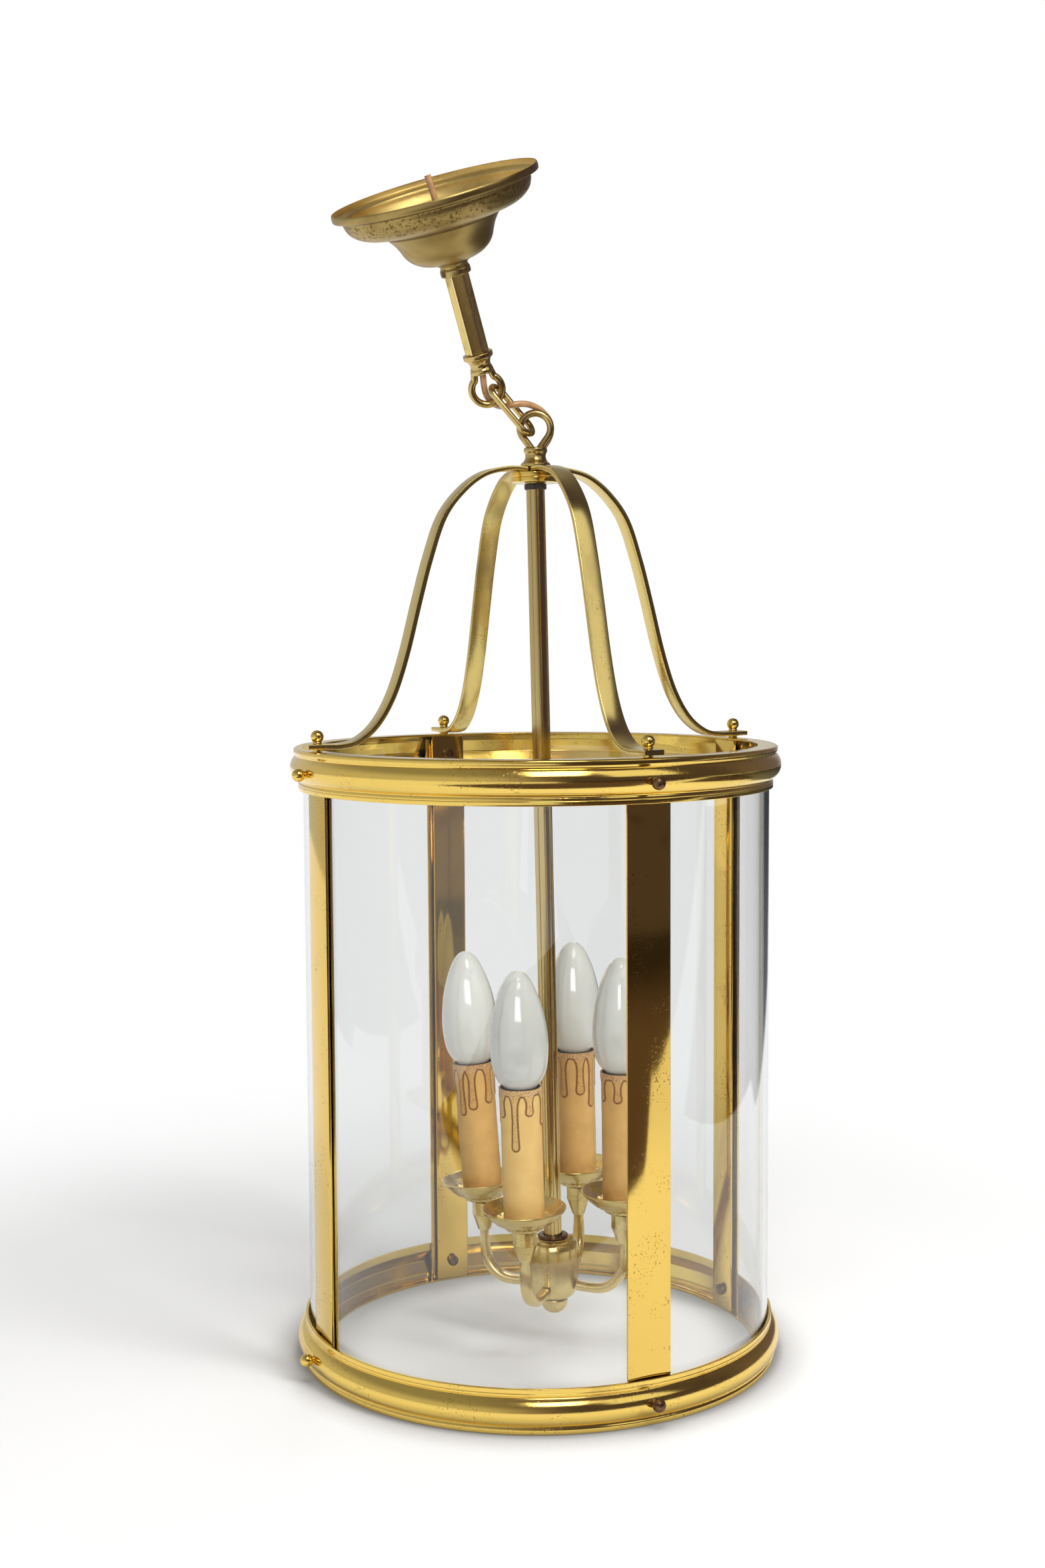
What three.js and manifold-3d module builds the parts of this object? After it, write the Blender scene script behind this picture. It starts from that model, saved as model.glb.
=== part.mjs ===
// A cylindrical brass hall lantern with bent glass panels and a four-candle cluster, hung by one chain
// link from a fluted stem and a ceiling canopy. Millimetres, +Z up. The origin is the bearing point
// inside the top of the hanging loop, and the lantern stands slack under the leaning stem, as stored.
import * as THREE from 'three';
import { mergeVertices } from 'three/addons/utils/BufferGeometryUtils.js';
import Module from 'manifold-3d';

const wasm = await Module();
wasm.setup();

// Driving dimensions of the cage. Heights are counted from the surface the lantern stands on.
const CAGE_HEIGHT = 384.1;
const RING_HEIGHT = 26;
const RING_BORE = 138.5;
const BEAD_RADIUS = 153;
const SHEET = 1.2;
const UPRIGHT_AZIMUTHS = [26, 116, 206, -64];
const GLASS = 3;
const PANEL_BEND = 137.8;
const PANEL_OFFSET = 8.2;
const GAP = 0.3;

// Driving dimensions of the crown and of the suspension above it.
const HUB_TOP = 553;
const HUB_SHIFT = 0.7;
const ARM_WIDTH = 12.2;
const ARM_THICKNESS = 3;
const FOOT_RADIUS = 152;
const FOOT_SCREW_RADIUS = 144.6;
const LANTERN_EYE = new THREE.Vector3(1, 0, 580);
const STEM_EYE = new THREE.Vector3(-28.8, 0, 604.1);
const EYE_RADIUS = 9.4;
const EYE_WIRE = 2.25;
const LINK_WIRE = 2;
const LINK_WIDTH = 13.4;
const LINK_SLACK_HIGH = 3.7;
const LINK_SLACK_LOW = 4;
const LINK_TURN = 25;
const STEM_LEAN_LEFT = 14.8;
const STEM_LEAN_FORWARD = 18.5;
const FLEX = 2;

// Stations along the stem, counted upwards from the centre of its eye.
const FERRULE_FOOT = 10.3;
const FERRULE_TOP = 23.2;
const COLLAR_FOOT = 72.2;
const CANOPY_FOOT = 80;
const CANOPY_DEPTH = 44.5;
const STEM_TOP = 90;
const LOOP_CENTRE = 104;
const LOOP_RADIUS = 6.8;
const LOOP_WIRE = 1.7;

// Driving dimensions of the candle cluster, which hangs a little out of plumb on its tube.
const TUBE_RADIUS = 5.75;
const TUBE_LEAN = 1.05;
const CLUSTER_AZIMUTH = -21.5;
const CANDLE_RADIUS = 47.6;
const CUP_TOP = 88;
const SLEEVE_FOOT = 97;
const SLEEVE_HEIGHT = 82;
const CANDLES = [
  { azimuth: 0, lean: 0.8, lift: -1.6 },
  { azimuth: 90, lean: 0.6, lift: 0.2 },
  { azimuth: 180, lean: 0, lift: 1.2 },
  { azimuth: 270, lean: 3.1, lift: 0.4 },
];

const rad = THREE.MathUtils.degToRad;

const brass = new THREE.MeshStandardMaterial({ color: 0xc9a13a, roughness: 0.28, metalness: 1 });
const agedBrass = new THREE.MeshStandardMaterial({ color: 0x9b8444, roughness: 0.45, metalness: 1 });
const darkSteel = new THREE.MeshStandardMaterial({ color: 0x2b231f, roughness: 0.5, metalness: 0.6 });
const clearGlass = new THREE.MeshStandardMaterial({
  color: 0xdfe6e4,
  roughness: 0.05,
  metalness: 0,
  transparent: true,
  opacity: 0.3,
});
const opalGlass = new THREE.MeshStandardMaterial({ color: 0xe4e8e2, roughness: 0.15, metalness: 0 });
const waxSleeve = new THREE.MeshStandardMaterial({ color: 0xd9ab68, roughness: 0.6, metalness: 0 });
const blackPlastic = new THREE.MeshStandardMaterial({ color: 0x1d1b1a, roughness: 0.5, metalness: 0 });
const flexSheath = new THREE.MeshStandardMaterial({ color: 0xb98a66, roughness: 0.5, metalness: 0 });

// Solids: every geometry is welded, freed of flat triangles and turned right side out.
function welded(geometry) {
  const bare = new THREE.BufferGeometry();
  bare.setAttribute('position', geometry.getAttribute('position').clone());
  if (geometry.index) bare.setIndex(geometry.index.clone());
  const merged = mergeVertices(bare, 1e-3);
  const corners = merged.index.array;
  const kept = [];
  let volume = 0;
  const [a, b, c] = [new THREE.Vector3(), new THREE.Vector3(), new THREE.Vector3()];
  for (let i = 0; i < corners.length; i += 3) {
    const [p, q, r] = [corners[i], corners[i + 1], corners[i + 2]];
    if (p === q || q === r || r === p) continue;
    kept.push(p, q, r);
    a.fromBufferAttribute(merged.attributes.position, p);
    b.fromBufferAttribute(merged.attributes.position, q);
    c.fromBufferAttribute(merged.attributes.position, r);
    volume += a.dot(b.cross(c));
  }
  if (volume < 0) kept.reverse();
  merged.setIndex(kept);
  return merged;
}

function toManifold(geometry) {
  const merged = welded(geometry);
  return new wasm.Manifold(new wasm.Mesh({
    numProp: 3,
    vertProperties: new Float32Array(merged.attributes.position.array),
    triVerts: new Uint32Array(merged.index.array),
  }));
}

function fromManifold(manifold) {
  const { vertProperties, triVerts } = manifold.getMesh();
  const geometry = new THREE.BufferGeometry();
  geometry.setAttribute('position', new THREE.BufferAttribute(vertProperties, 3));
  geometry.setIndex(new THREE.BufferAttribute(triVerts, 1));
  return geometry;
}

function join(first, ...others) {
  return fromManifold(others.reduce((sum, other) => sum.add(toManifold(other)), toManifold(first)));
}

function cut(first, ...tools) {
  return fromManifold(tools.reduce((rest, tool) => rest.subtract(toManifold(tool)), toManifold(first)));
}

// A solid turned about Z from [radius, height] points. A closed outline is a ring, an open one starts
// and ends on the axis.
function turned(outline, segments, closed = true) {
  const points = outline.map(([radius, height]) => new THREE.Vector2(radius, height));
  if (closed) points.push(points[0].clone());
  return welded(new THREE.LatheGeometry(points, segments)).rotateX(Math.PI / 2);
}

function cylinder(radius, from, to, sides) {
  const geometry = new THREE.CylinderGeometry(radius, radius, to - from, sides);
  return geometry.rotateX(Math.PI / 2).translate(0, 0, (from + to) / 2);
}

// Turns an outline drawn as (distance from the axis, height) into a bar of a given width standing
// on the -Y side, with the width along X.
function standingBar(outline, width) {
  const shape = new THREE.Shape(outline.map(([x, y]) => new THREE.Vector2(x, y)));
  const geometry = new THREE.ExtrudeGeometry(shape, { depth: width, bevelEnabled: false });
  geometry.translate(0, 0, -width / 2);
  return geometry.applyMatrix4(new THREE.Matrix4().makeBasis(
    new THREE.Vector3(0, -1, 0),
    new THREE.Vector3(0, 0, 1),
    new THREE.Vector3(-1, 0, 0),
  ));
}

// The outline of a flat bar of even thickness whose middle line is a smooth curve through the points.
function bentBar(points, thickness, steps) {
  const curve = new THREE.CatmullRomCurve3(
    points.map(([x, y]) => new THREE.Vector3(x, y, 0)),
    false,
    'centripetal',
  );
  const sides = [[], []];
  for (let i = 0; i <= steps; i += 1) {
    const place = curve.getPointAt(i / steps);
    const along = curve.getTangentAt(i / steps);
    [1, -1].forEach((side, k) => {
      const shift = (side * thickness) / 2;
      sides[k].push([place.x - along.y * shift, place.y + along.x * shift]);
    });
  }
  return [...sides[0], ...sides[1].reverse()];
}

// A round wire or cable along a smooth open curve.
function wire(points, radius, steps, sides = 8) {
  const circle = new THREE.Shape();
  for (let i = 0; i < sides; i += 1) {
    const angle = (2 * Math.PI * (i + 0.5)) / sides;
    circle[i ? 'lineTo' : 'moveTo'](radius * Math.cos(angle), radius * Math.sin(angle));
  }
  const extrudePath = new THREE.CatmullRomCurve3(points.map((p) => new THREE.Vector3(...p)));
  return welded(new THREE.ExtrudeGeometry(circle, { steps, bevelEnabled: false, extrudePath }));
}

// A round wire bent into a closed flat loop that passes through the points (x, z).
function wireLoop(path, radius, sides) {
  const positions = [];
  const corners = [];
  const count = path.length;
  for (let i = 0; i < count; i += 1) {
    const [x0, z0] = path[(i + count - 1) % count];
    const [x, z] = path[i];
    const [x1, z1] = path[(i + 1) % count];
    const length = Math.hypot(x1 - x0, z1 - z0);
    const [nx, nz] = [(z1 - z0) / length, -(x1 - x0) / length];
    for (let k = 0; k < sides; k += 1) {
      const angle = (2 * Math.PI * k) / sides;
      const reach = radius * Math.cos(angle);
      positions.push(x + nx * reach, radius * Math.sin(angle), z + nz * reach);
      const next = (i + 1) % count;
      const turn = (k + 1) % sides;
      const [p, q] = [i * sides + k, next * sides + k];
      const [r, s] = [next * sides + turn, i * sides + turn];
      corners.push(p, q, r, p, r, s);
    }
  }
  const geometry = new THREE.BufferGeometry();
  geometry.setAttribute('position', new THREE.Float32BufferAttribute(positions, 3));
  geometry.setIndex(corners);
  return geometry;
}

function arcPoints(cx, cz, radius, from, to, steps) {
  return Array.from({ length: steps + 1 }, (_, i) => {
    const angle = rad(from + ((to - from) * i) / steps);
    return [cx + radius * Math.cos(angle), cz + radius * Math.sin(angle)];
  });
}

function piece(parent, name, geometry, material) {
  const mesh = new THREE.Mesh(welded(geometry), material);
  mesh.name = name;
  parent.add(mesh);
  return mesh;
}

function turnedGroup(parent, azimuth) {
  const group = new THREE.Group();
  group.rotation.z = rad(azimuth);
  parent.add(group);
  return group;
}

// Moulded rings: a thin pressed section with a flat flange, a bold bead and a straight lip, held to
// the uprights by ball-headed screws through the bead.
const SCREW_HEIGHT = 13.75;
const STRIP_FACE = 145.5;
const STRIP_THICKNESS = 1.6;
const STRIP_WIDTH = 28;
const INNER_FACE = 138.3;
const INNER_THICKNESS = 1.5;
const INNER_WIDTH = 22.5;

function ringSection() {
  const bead = arcPoints(143.4, 12, BEAD_RADIUS - 143.4, -44, 61, 4);
  const lip = 148;
  return [
    [RING_BORE, 0], [149.9, 0], [150.8, 0.9], [150.8, 2.8], [149.6, 4.6],
    ...bead,
    [lip, RING_HEIGHT], [lip - 1, RING_HEIGHT], [lip - 1, 20],
    [151.5, 12], [148.4, 4.8], [148.4, SHEET], [RING_BORE, SHEET],
  ];
}

function ballScrew() {
  const shank = cylinder(2, 135.8, 152.5, 6);
  const collar = cylinder(2.75, 150.6, 154.2, 6);
  const nut = cylinder(3.7, 135.8, 138, 6);
  const ball = new THREE.SphereGeometry(4, 8, 5).rotateX(Math.PI / 2).translate(0, 0, 156.7);
  return join(shank, collar, nut, ball).rotateX(Math.PI / 2);
}

function mouldedRing() {
  const screws = UPRIGHT_AZIMUTHS.map((azimuth) => (
    ballScrew().rotateZ(rad(azimuth)).translate(0, 0, SCREW_HEIGHT)
  ));
  return join(turned(ringSection(), 40), ...screws);
}

function footHole(azimuth, from, to) {
  return cylinder(2.5, from, to, 6).translate(0, -FOOT_SCREW_RADIUS, 0).rotateZ(rad(azimuth));
}

function addRings(lantern) {
  piece(lantern, 'lower_ring', mouldedRing(), brass);
  const holes = UPRIGHT_AZIMUTHS.map((azimuth) => footHole(azimuth, -1, 3));
  const upper = cut(mouldedRing(), ...holes).scale(1, 1, -1).translate(0, 0, CAGE_HEIGHT);
  piece(lantern, 'upper_ring', upper, brass);
}

// Uprights: a wide strip outside and a narrow one inside clamp the edges of the bent glass.
function strip(width, thickness, face, top) {
  const low = SHEET + GAP;
  const geometry = new THREE.BoxGeometry(width, thickness, top - low);
  geometry.translate(0, -(face - thickness / 2), (low + top) / 2);
  const holes = [SCREW_HEIGHT, CAGE_HEIGHT - SCREW_HEIGHT].map((height) => (
    cylinder(2.5, 130, 150, 6).rotateX(Math.PI / 2).translate(0, 0, height)
  ));
  return cut(geometry, ...holes);
}

function glassPanel() {
  const half = 45.9;
  const outer = arcPoints(PANEL_OFFSET, 0, PANEL_BEND, -half, half, 11);
  const inner = arcPoints(PANEL_OFFSET, 0, PANEL_BEND - GLASS, half, -half, 11);
  const shape = new THREE.Shape([...outer, ...inner].map(([x, y]) => new THREE.Vector2(x, y)));
  const low = SHEET + GAP;
  const geometry = new THREE.ExtrudeGeometry(shape, { depth: CAGE_HEIGHT - 2 * low, bevelEnabled: false });
  return geometry.translate(0, 0, low).rotateZ(rad(-90));
}

function addCage(lantern) {
  const underFlange = CAGE_HEIGHT - SHEET - GAP;
  const underNuts = CAGE_HEIGHT - 3.7;
  UPRIGHT_AZIMUTHS.forEach((azimuth, i) => {
    const bay = turnedGroup(lantern, azimuth);
    const outer = strip(STRIP_WIDTH, STRIP_THICKNESS, STRIP_FACE, underNuts);
    const inner = strip(INNER_WIDTH, INNER_THICKNESS, INNER_FACE + INNER_THICKNESS, underFlange);
    piece(bay, `outer_strip_${i + 1}`, outer, brass);
    piece(bay, `inner_strip_${i + 1}`, inner, brass);
    piece(turnedGroup(lantern, azimuth + 45), `glass_panel_${i + 1}`, glassPanel(), clearGlass);
  });
}

// Crown: four flat bars sweep from the hub down to feet that are screwed to the upper ring's flange.
const ARM_LINE = [
  [7.2, 554.6], [20, 554.6], [36, 550.6], [50.5, 540], [63, 524], [72.3, 499], [79.5, 474],
  [88.4, 441], [97.4, 416], [108, 399], [120, 389.6], [131, 387.1], [FOOT_RADIUS, 387.1],
];

function crownArm() {
  const bar = standingBar(bentBar(ARM_LINE, ARM_THICKNESS, 17), ARM_WIDTH);
  return cut(bar, footHole(0, 380, 394));
}

function footScrew() {
  const ball = new THREE.SphereGeometry(4, 8, 5).rotateX(Math.PI / 2).translate(0, 0, 392.6);
  const collar = cylinder(2.6, 388.9, 390, 6);
  const shank = cylinder(2, 380.8, 392, 6);
  const nut = cylinder(2.9, 380.8, 382.6, 6);
  return join(ball, collar, shank, nut).translate(0, -FOOT_SCREW_RADIUS, 0);
}

function addCrown(lantern) {
  UPRIGHT_AZIMUTHS.forEach((azimuth, i) => {
    const bay = turnedGroup(lantern, azimuth);
    piece(bay, `crown_arm_${i + 1}`, crownArm(), brass);
    piece(bay, `foot_screw_${i + 1}`, footScrew(), brass);
  });
  const disc = [
    [6.2, 546.5], [15.4, 546.5], [15.4, 549.5], [15, 549.8], [15.4, 550.1],
    [15.4, HUB_TOP - GAP], [6.2, HUB_TOP - GAP],
  ];
  piece(lantern, 'hub_disc', turned(disc, 18), brass).position.x = HUB_SHIFT;
}

// Eyes: a wire eye on a small turned mount, drawn with the eye's centre at the origin and its mount
// below it. The mount carries a bead, a waist and a flange.
function turnedMount(top, height, bore) {
  return turned([
    [bore, top], [6.9, top], [7.3, top - 0.7], [7.3, top - 2.6], [6.5, top - 3.9],
    [6.6, top - 6.6], [7.6, top - 8.8], [9.3, top - 10.4], [9.3, top - height],
    [bore, top - height],
  ], 16);
}

function crownEye() {
  const apex = 15.2;
  const round = arcPoints(0, 0, EYE_RADIUS, -38, 218, 15);
  const legs = [[-EYE_RADIUS * 0.42, -10.6], [0, -apex], [EYE_RADIUS * 0.42, -10.6]];
  const eye = wireLoop([...round, ...legs], EYE_WIRE, 8);
  const mount = turnedMount(-11.8, 12, 3.1);
  const spigot = turned([[3.1, -26.6], [5.2, -26.6], [5.2, -20], [3.1, -20]], 16);
  const flexHole = cylinder(2.4, -4.5, 12, 8);
  flexHole.applyQuaternion(new THREE.Quaternion().setFromUnitVectors(
    new THREE.Vector3(0, 0, 1),
    new THREE.Vector3(0.65, 0.3, 0.7).normalize(),
  ));
  return cut(join(eye, mount, spigot), flexHole.translate(3, 4.8, -13));
}

function stemEye() {
  const round = arcPoints(0, 0, EYE_RADIUS, 57, -237, 16).map(([x, z]) => [x, 0, z]);
  const eye = wire([[5, 0, 13], ...round, [-5, 0, 13]], EYE_WIRE, 22);
  const mount = turnedMount(-FERRULE_FOOT, FERRULE_TOP - FERRULE_FOOT, 2.7).scale(1, 1, -1);
  return cut(join(eye, mount), cylinder(2.7, 9, 11, 8));
}

function hangingLoop() {
  const round = arcPoints(0, 0, LOOP_RADIUS, -52, 232, 14).map(([x, z]) => [x, 0, z]);
  const loop = wire([[4.2, 0, -11], ...round, [-4.2, 0, -11]], LOOP_WIRE, 18, 6);
  const nut = cylinder(8, -13.7, -8.7, 6);
  return cut(join(loop, nut), cylinder(2.6, -20, -6, 8)).translate(0, 0, LOOP_CENTRE);
}

// Stem: a six-sided column with shallow flutes between narrow ridges, with a bore for the flex.
function stemTube() {
  const shape = new THREE.Shape();
  const ridge = 7.4;
  const flute = 6.45;
  for (let side = 0; side < 6; side += 1) {
    for (let step = 0; step <= 5; step += 1) {
      const across = step / 5;
      const angle = rad(side * 60 - 60 + 4 + across * 52);
      const radius = ridge - (ridge - flute) * Math.sin(Math.PI * across);
      shape[side + step ? 'lineTo' : 'moveTo'](radius * Math.cos(angle), radius * Math.sin(angle));
    }
  }
  const bore = new THREE.Path();
  bore.absarc(0, 0, 4, 0, 2 * Math.PI, true);
  shape.holes.push(bore);
  const low = FERRULE_TOP + GAP;
  return new THREE.ExtrudeGeometry(shape, { depth: STEM_TOP - low, bevelEnabled: false, curveSegments: 8 })
    .translate(0, 0, low);
}

// Canopy: a thin spun cup with a rolled rim, an ovolo, a step and an ogee down to its throat, drawn as
// [radius, depth under the rim]. The inner face follows the outer one a sheet's thickness away.
const CANOPY_OUTSIDE = [
  [63.6, 0.2], [63.4, 2.8], [62.2, 4.2], [58.6, 5.4], [57.7, 9], [55.6, 13.7], [50.2, 17.6],
  [43.9, 19.8], [36.4, 21.2], [35.2, 23.4], [29.9, 30.4], [26.4, 35.2], [22.3, 39.5], [17, 42.6],
  [8.6, CANOPY_DEPTH],
];
const CANOPY_INSIDE = [
  [8.6, 43.2], [16.4, 41.4], [21.4, 38.4], [28.8, 29.6], [34.2, 22.4], [36, 20], [49.4, 16.8],
  [54.6, 12.8], [56.9, 4.6], [62.2, 2.2], [62.4, 0.2],
];

function addCanopy(hanger) {
  const top = CANOPY_FOOT + CANOPY_DEPTH;
  const section = [...CANOPY_OUTSIDE, ...CANOPY_INSIDE].map(([radius, depth]) => [radius, top - depth]);
  piece(hanger, 'canopy', turned(section, 30), agedBrass);
  const collar = turned([
    [7.8, COLLAR_FOOT], [9.3, COLLAR_FOOT], [9.3, COLLAR_FOOT + 4], [8.7, COLLAR_FOOT + 5],
    [8.8, COLLAR_FOOT + 6.4], [9.9, COLLAR_FOOT + 7.1], [9.9, CANOPY_FOOT - GAP], [7.8, CANOPY_FOOT - GAP],
  ], 16);
  const screwHole = cylinder(1.75, 5, 12, 6);
  const grubScrew = cut(cylinder(1.35, 7.75, 9.1, 6), cylinder(0.7, 8.5, 10, 4));
  const [hole, screw] = [screwHole, grubScrew].map((geometry) => (
    geometry.rotateX(Math.PI / 2).rotateZ(rad(-53)).translate(0, 0, COLLAR_FOOT + 2.2)
  ));
  piece(hanger, 'canopy_collar', cut(collar, hole), agedBrass);
  piece(hanger, 'collar_set_screw', screw, darkSteel);
}

// Chain link: an oval wire link hooked slackly through both eyes, turned on its long axis.
function chainLink() {
  const high = new THREE.Vector3(0.92, 0, 0.39).normalize().multiplyScalar(LINK_SLACK_HIGH).add(STEM_EYE);
  const low = new THREE.Vector3(-0.66, 0, -0.75).normalize().multiplyScalar(LINK_SLACK_LOW).add(LANTERN_EYE);
  const along = low.clone().sub(high);
  const bow = LINK_WIDTH / 2;
  const straight = along.length() / 2 - bow;
  const path = [
    ...arcPoints(straight, 0, bow, -90, 90, 9),
    ...arcPoints(-straight, 0, bow, 90, 270, 9),
  ];
  const w = along.clone().normalize();
  const across = new THREE.Vector3(0, 1, 0).applyAxisAngle(w, rad(LINK_TURN));
  const face = w.clone().cross(across);
  const frame = new THREE.Matrix4().makeBasis(w, face.negate(), across);
  frame.setPosition(high.add(low).multiplyScalar(0.5));
  return wireLoop(path, LINK_WIRE, 8).applyMatrix4(frame);
}

// Flex: it runs up the stem to a short tail in the canopy, and hangs slack from the ferrule through
// the chain link, over the lantern's eye and into the back of its mount.
const SLACK_UPPER = [
  [-31.2, -3.1, 612.6], [-30.9, -2.2, 609.2], [-30.5, 0.1, 605.4], [-29.7, 3.4, 602],
  [-27.9, 6.5, 598.9], [-25.2, 7.9, 596.4], [-22, 6.8, 594.7], [-19, 3.8, 593.9], [-16.8, 1.4, 593.9],
];
const SLACK_LOWER = [
  [-16.3, 0.9, 593.9], [-13.4, -1.2, 594.3], [-8.6, -0.8, 595], [-4.4, 0.9, 595], [-0.4, 2.6, 594],
  [3.6, 4.1, 592], [7, 5, 589], [9.5, 5.1, 585.6], [10.6, 5.1, 581.8], [10.5, 5.2, 577.6],
  [9.2, 5.7, 573.9], [7, 5.8, 570.4], [4.7, 5, 567.6],
];
const TAIL = [
  [0, 0, 91.6], [0, 0, 94.4], [-0.1, -1, 98], [-0.3, -3.3, 101.3], [-0.5, -6.4, 104.3],
  [-0.6, -8.6, 108.5], [-0.7, -9.2, 114], [-0.9, -8.8, 120], [-1.2, -7.8, 126], [-1.6, -6.2, 132.6],
];

function addHanger(lanternSpace) {
  const hanger = new THREE.Group();
  hanger.position.copy(STEM_EYE);
  hanger.rotation.set(rad(STEM_LEAN_FORWARD), rad(-STEM_LEAN_LEFT), 0, 'YXZ');
  lanternSpace.add(hanger);
  piece(hanger, 'stem_ring', stemEye(), brass);
  piece(hanger, 'stem_tube', stemTube(), agedBrass);
  piece(hanger, 'hanging_loop', hangingLoop(), agedBrass);
  piece(hanger, 'flex_in_stem', wire([[0, 0, 11.4], [0, 0, 50], [0, 0, 91.2]], FLEX, 2), flexSheath);
  piece(hanger, 'flex_tail', wire(TAIL, FLEX, 14), flexSheath);
  addCanopy(hanger);
  piece(lanternSpace, 'chain_link', chainLink(), brass);
  piece(lanternSpace, 'flex_upper', wire(SLACK_UPPER, FLEX, 9), flexSheath);
  piece(lanternSpace, 'flex_lower', wire(SLACK_LOWER, FLEX, 18), flexSheath);
  piece(lanternSpace, 'crown_ring', crownEye().translate(...LANTERN_EYE), brass);
  return hanger;
}

// Candle cluster: a cast pot on the centre tube carries four scrolled arms. Each arm ends in an
// eight-sided cup that holds a drip pan, a lampholder under a wax-coloured sleeve, and a bulb.
function candleArm() {
  const line = [[16.3, 38.8], [24, 38.6], [33.5, 39.4], [41, 43.6], [45.8, 51], [47.2, 60], [47.4, 72]];
  const scroll = standingBar(bentBar(line, 6, 8), 7.6);
  const cup = new THREE.CylinderGeometry(7.4, 7.4, 9, 8).rotateX(Math.PI / 2).rotateZ(rad(22.5));
  const taper = new THREE.CylinderGeometry(7.2, 3.9, 9.4, 8).rotateX(Math.PI / 2).rotateZ(rad(22.5));
  cup.translate(0, -CANDLE_RADIUS, CUP_TOP - 4.5);
  taper.translate(0, -CANDLE_RADIUS, CUP_TOP - 13.6);
  const socket = cylinder(5.9, CUP_TOP - 5, CUP_TOP + 1, 8).translate(0, -CANDLE_RADIUS, 0);
  return cut(join(scroll, cup, taper), socket);
}

// Pieces over the cup, drawn with the cup's top face at zero.
const PAN_FLOOR = 8.3;
const SLEEVE_BASE = SLEEVE_FOOT - CUP_TOP;
const SLEEVE_TOP = SLEEVE_BASE + SLEEVE_HEIGHT;

function dripPan() {
  return turned([
    [5.4, 0.8], [8.6, 0.8], [11.8, 2.6], [12.2, 3.8], [15.4, 5.2], [25.4, 13.2],
    [26.2, 15.4], [24.6, 15.2], [15.8, PAN_FLOOR], [5.4, PAN_FLOOR],
  ], 16);
}

function candleSleeve() {
  return turned([
    [12.2, SLEEVE_BASE], [12.75, SLEEVE_BASE], [12.75, SLEEVE_TOP - 22], [13.25, SLEEVE_TOP - 1],
    [12.9, SLEEVE_TOP], [12.2, SLEEVE_TOP],
  ], 14);
}

function lampholder() {
  const top = SLEEVE_TOP + 0.5;
  return turned([
    [0, -4], [4.9, -4], [4.9, top - 42], [11.6, top - 37], [11.8, top],
    [11.3, top], [7.6, top - 12.4], [7.6, top - 35], [0, top - 35],
  ], 14, false);
}

function candleBulb() {
  const cap = [[0, -34], [6.2, -30.4], [6.7, -28], [6.7, -11.8]];
  const envelope = [
    [10.3, 0], [13.9, 5], [16.2, 11.4], [17.3, 24], [16.4, 37], [12.6, 53], [8.4, 63.4],
    [4.6, 68.9], [0, 70.4],
  ];
  const outline = [...cap, ...envelope].map(([radius, height]) => [radius, height + SLEEVE_TOP]);
  return turned(outline, 12, false);
}

function addCluster(lantern) {
  const tubeTop = HUB_TOP - 0.8;
  const leaning = new THREE.Group();
  leaning.position.set(HUB_SHIFT, 0, tubeTop);
  leaning.rotation.y = rad(-TUBE_LEAN);
  lantern.add(leaning);
  const cluster = new THREE.Group();
  cluster.position.z = -tubeTop;
  leaning.add(cluster);

  const tube = turned([[4.4, 66], [TUBE_RADIUS, 66], [TUBE_RADIUS, tubeTop], [4.4, tubeTop]], 12);
  piece(cluster, 'centre_tube', tube, brass);
  piece(cluster, 'flex_in_tube', wire([[0, 0, 64], [0, 0, 300], [0, 0, 550]], FLEX, 2), flexSheath);
  const nut = turned([[6.1, 542.3], [6.5, 542.3], [6.9, 543], [6.9, 545.4], [6.5, 546.1], [6.1, 546.1]], 14);
  piece(cluster, 'hub_nut', nut, blackPlastic);
  const pot = turned([
    [5.2, 31], [10.6, 30.8], [13.2, 33], [15, 37.6], [16, 46], [16.3, 56], [16.2, 64], [15.4, 67],
    [10.2, 68.4], [9.6, 71], [6.2, 71], [6.2, 62], [5.2, 60],
  ], 16);
  piece(cluster, 'cluster_body', pot, brass);
  const finial = turned([
    [0, 19.6], [3.4, 20.2], [6.2, 22], [8, 24.8], [8.6, 29.4], [4.8, 29.6], [4.8, 40], [0, 40],
  ], 14, false);
  piece(cluster, 'cluster_finial', finial, brass);

  CANDLES.forEach(({ azimuth, lean, lift }, i) => {
    const bay = turnedGroup(cluster, CLUSTER_AZIMUTH + azimuth);
    bay.position.z = lift;
    piece(bay, `candle_arm_${i + 1}`, candleArm(), brass);
    const candle = new THREE.Group();
    candle.position.set(0, -CANDLE_RADIUS, CUP_TOP);
    candle.rotation.x = rad(lean);
    bay.add(candle);
    piece(candle, `drip_pan_${i + 1}`, dripPan(), brass);
    piece(candle, `candle_sleeve_${i + 1}`, candleSleeve(), waxSleeve);
    piece(candle, `lampholder_${i + 1}`, lampholder(), blackPlastic);
    piece(candle, `bulb_${i + 1}`, candleBulb(), opalGlass);
  });
}

// The whole lantern, moved so that the hanging loop's bearing point is the origin.
const part = new THREE.Group();
const lantern = new THREE.Group();
part.add(lantern);
const hanger = addHanger(lantern);
addRings(lantern);
addCage(lantern);
addCrown(lantern);
addCluster(lantern);
part.updateMatrixWorld(true);
const bearing = hanger.localToWorld(new THREE.Vector3(0, 0, LOOP_CENTRE + LOOP_RADIUS - LOOP_WIRE));
lantern.position.copy(bearing).negate();

export default part;
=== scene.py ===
# %% [markdown]
# A brass hall lantern, stood on a table with its stem leaning over.
#
# The CAD model gives the frame: every piece below sits where its CAD node sits, in metres, with the
# origin at the bearing point of the hanging loop. Shapes are drawn in millimetres, because that is
# how a lantern maker measures, and are brought into the frame by one matrix for each assembly.

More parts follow.
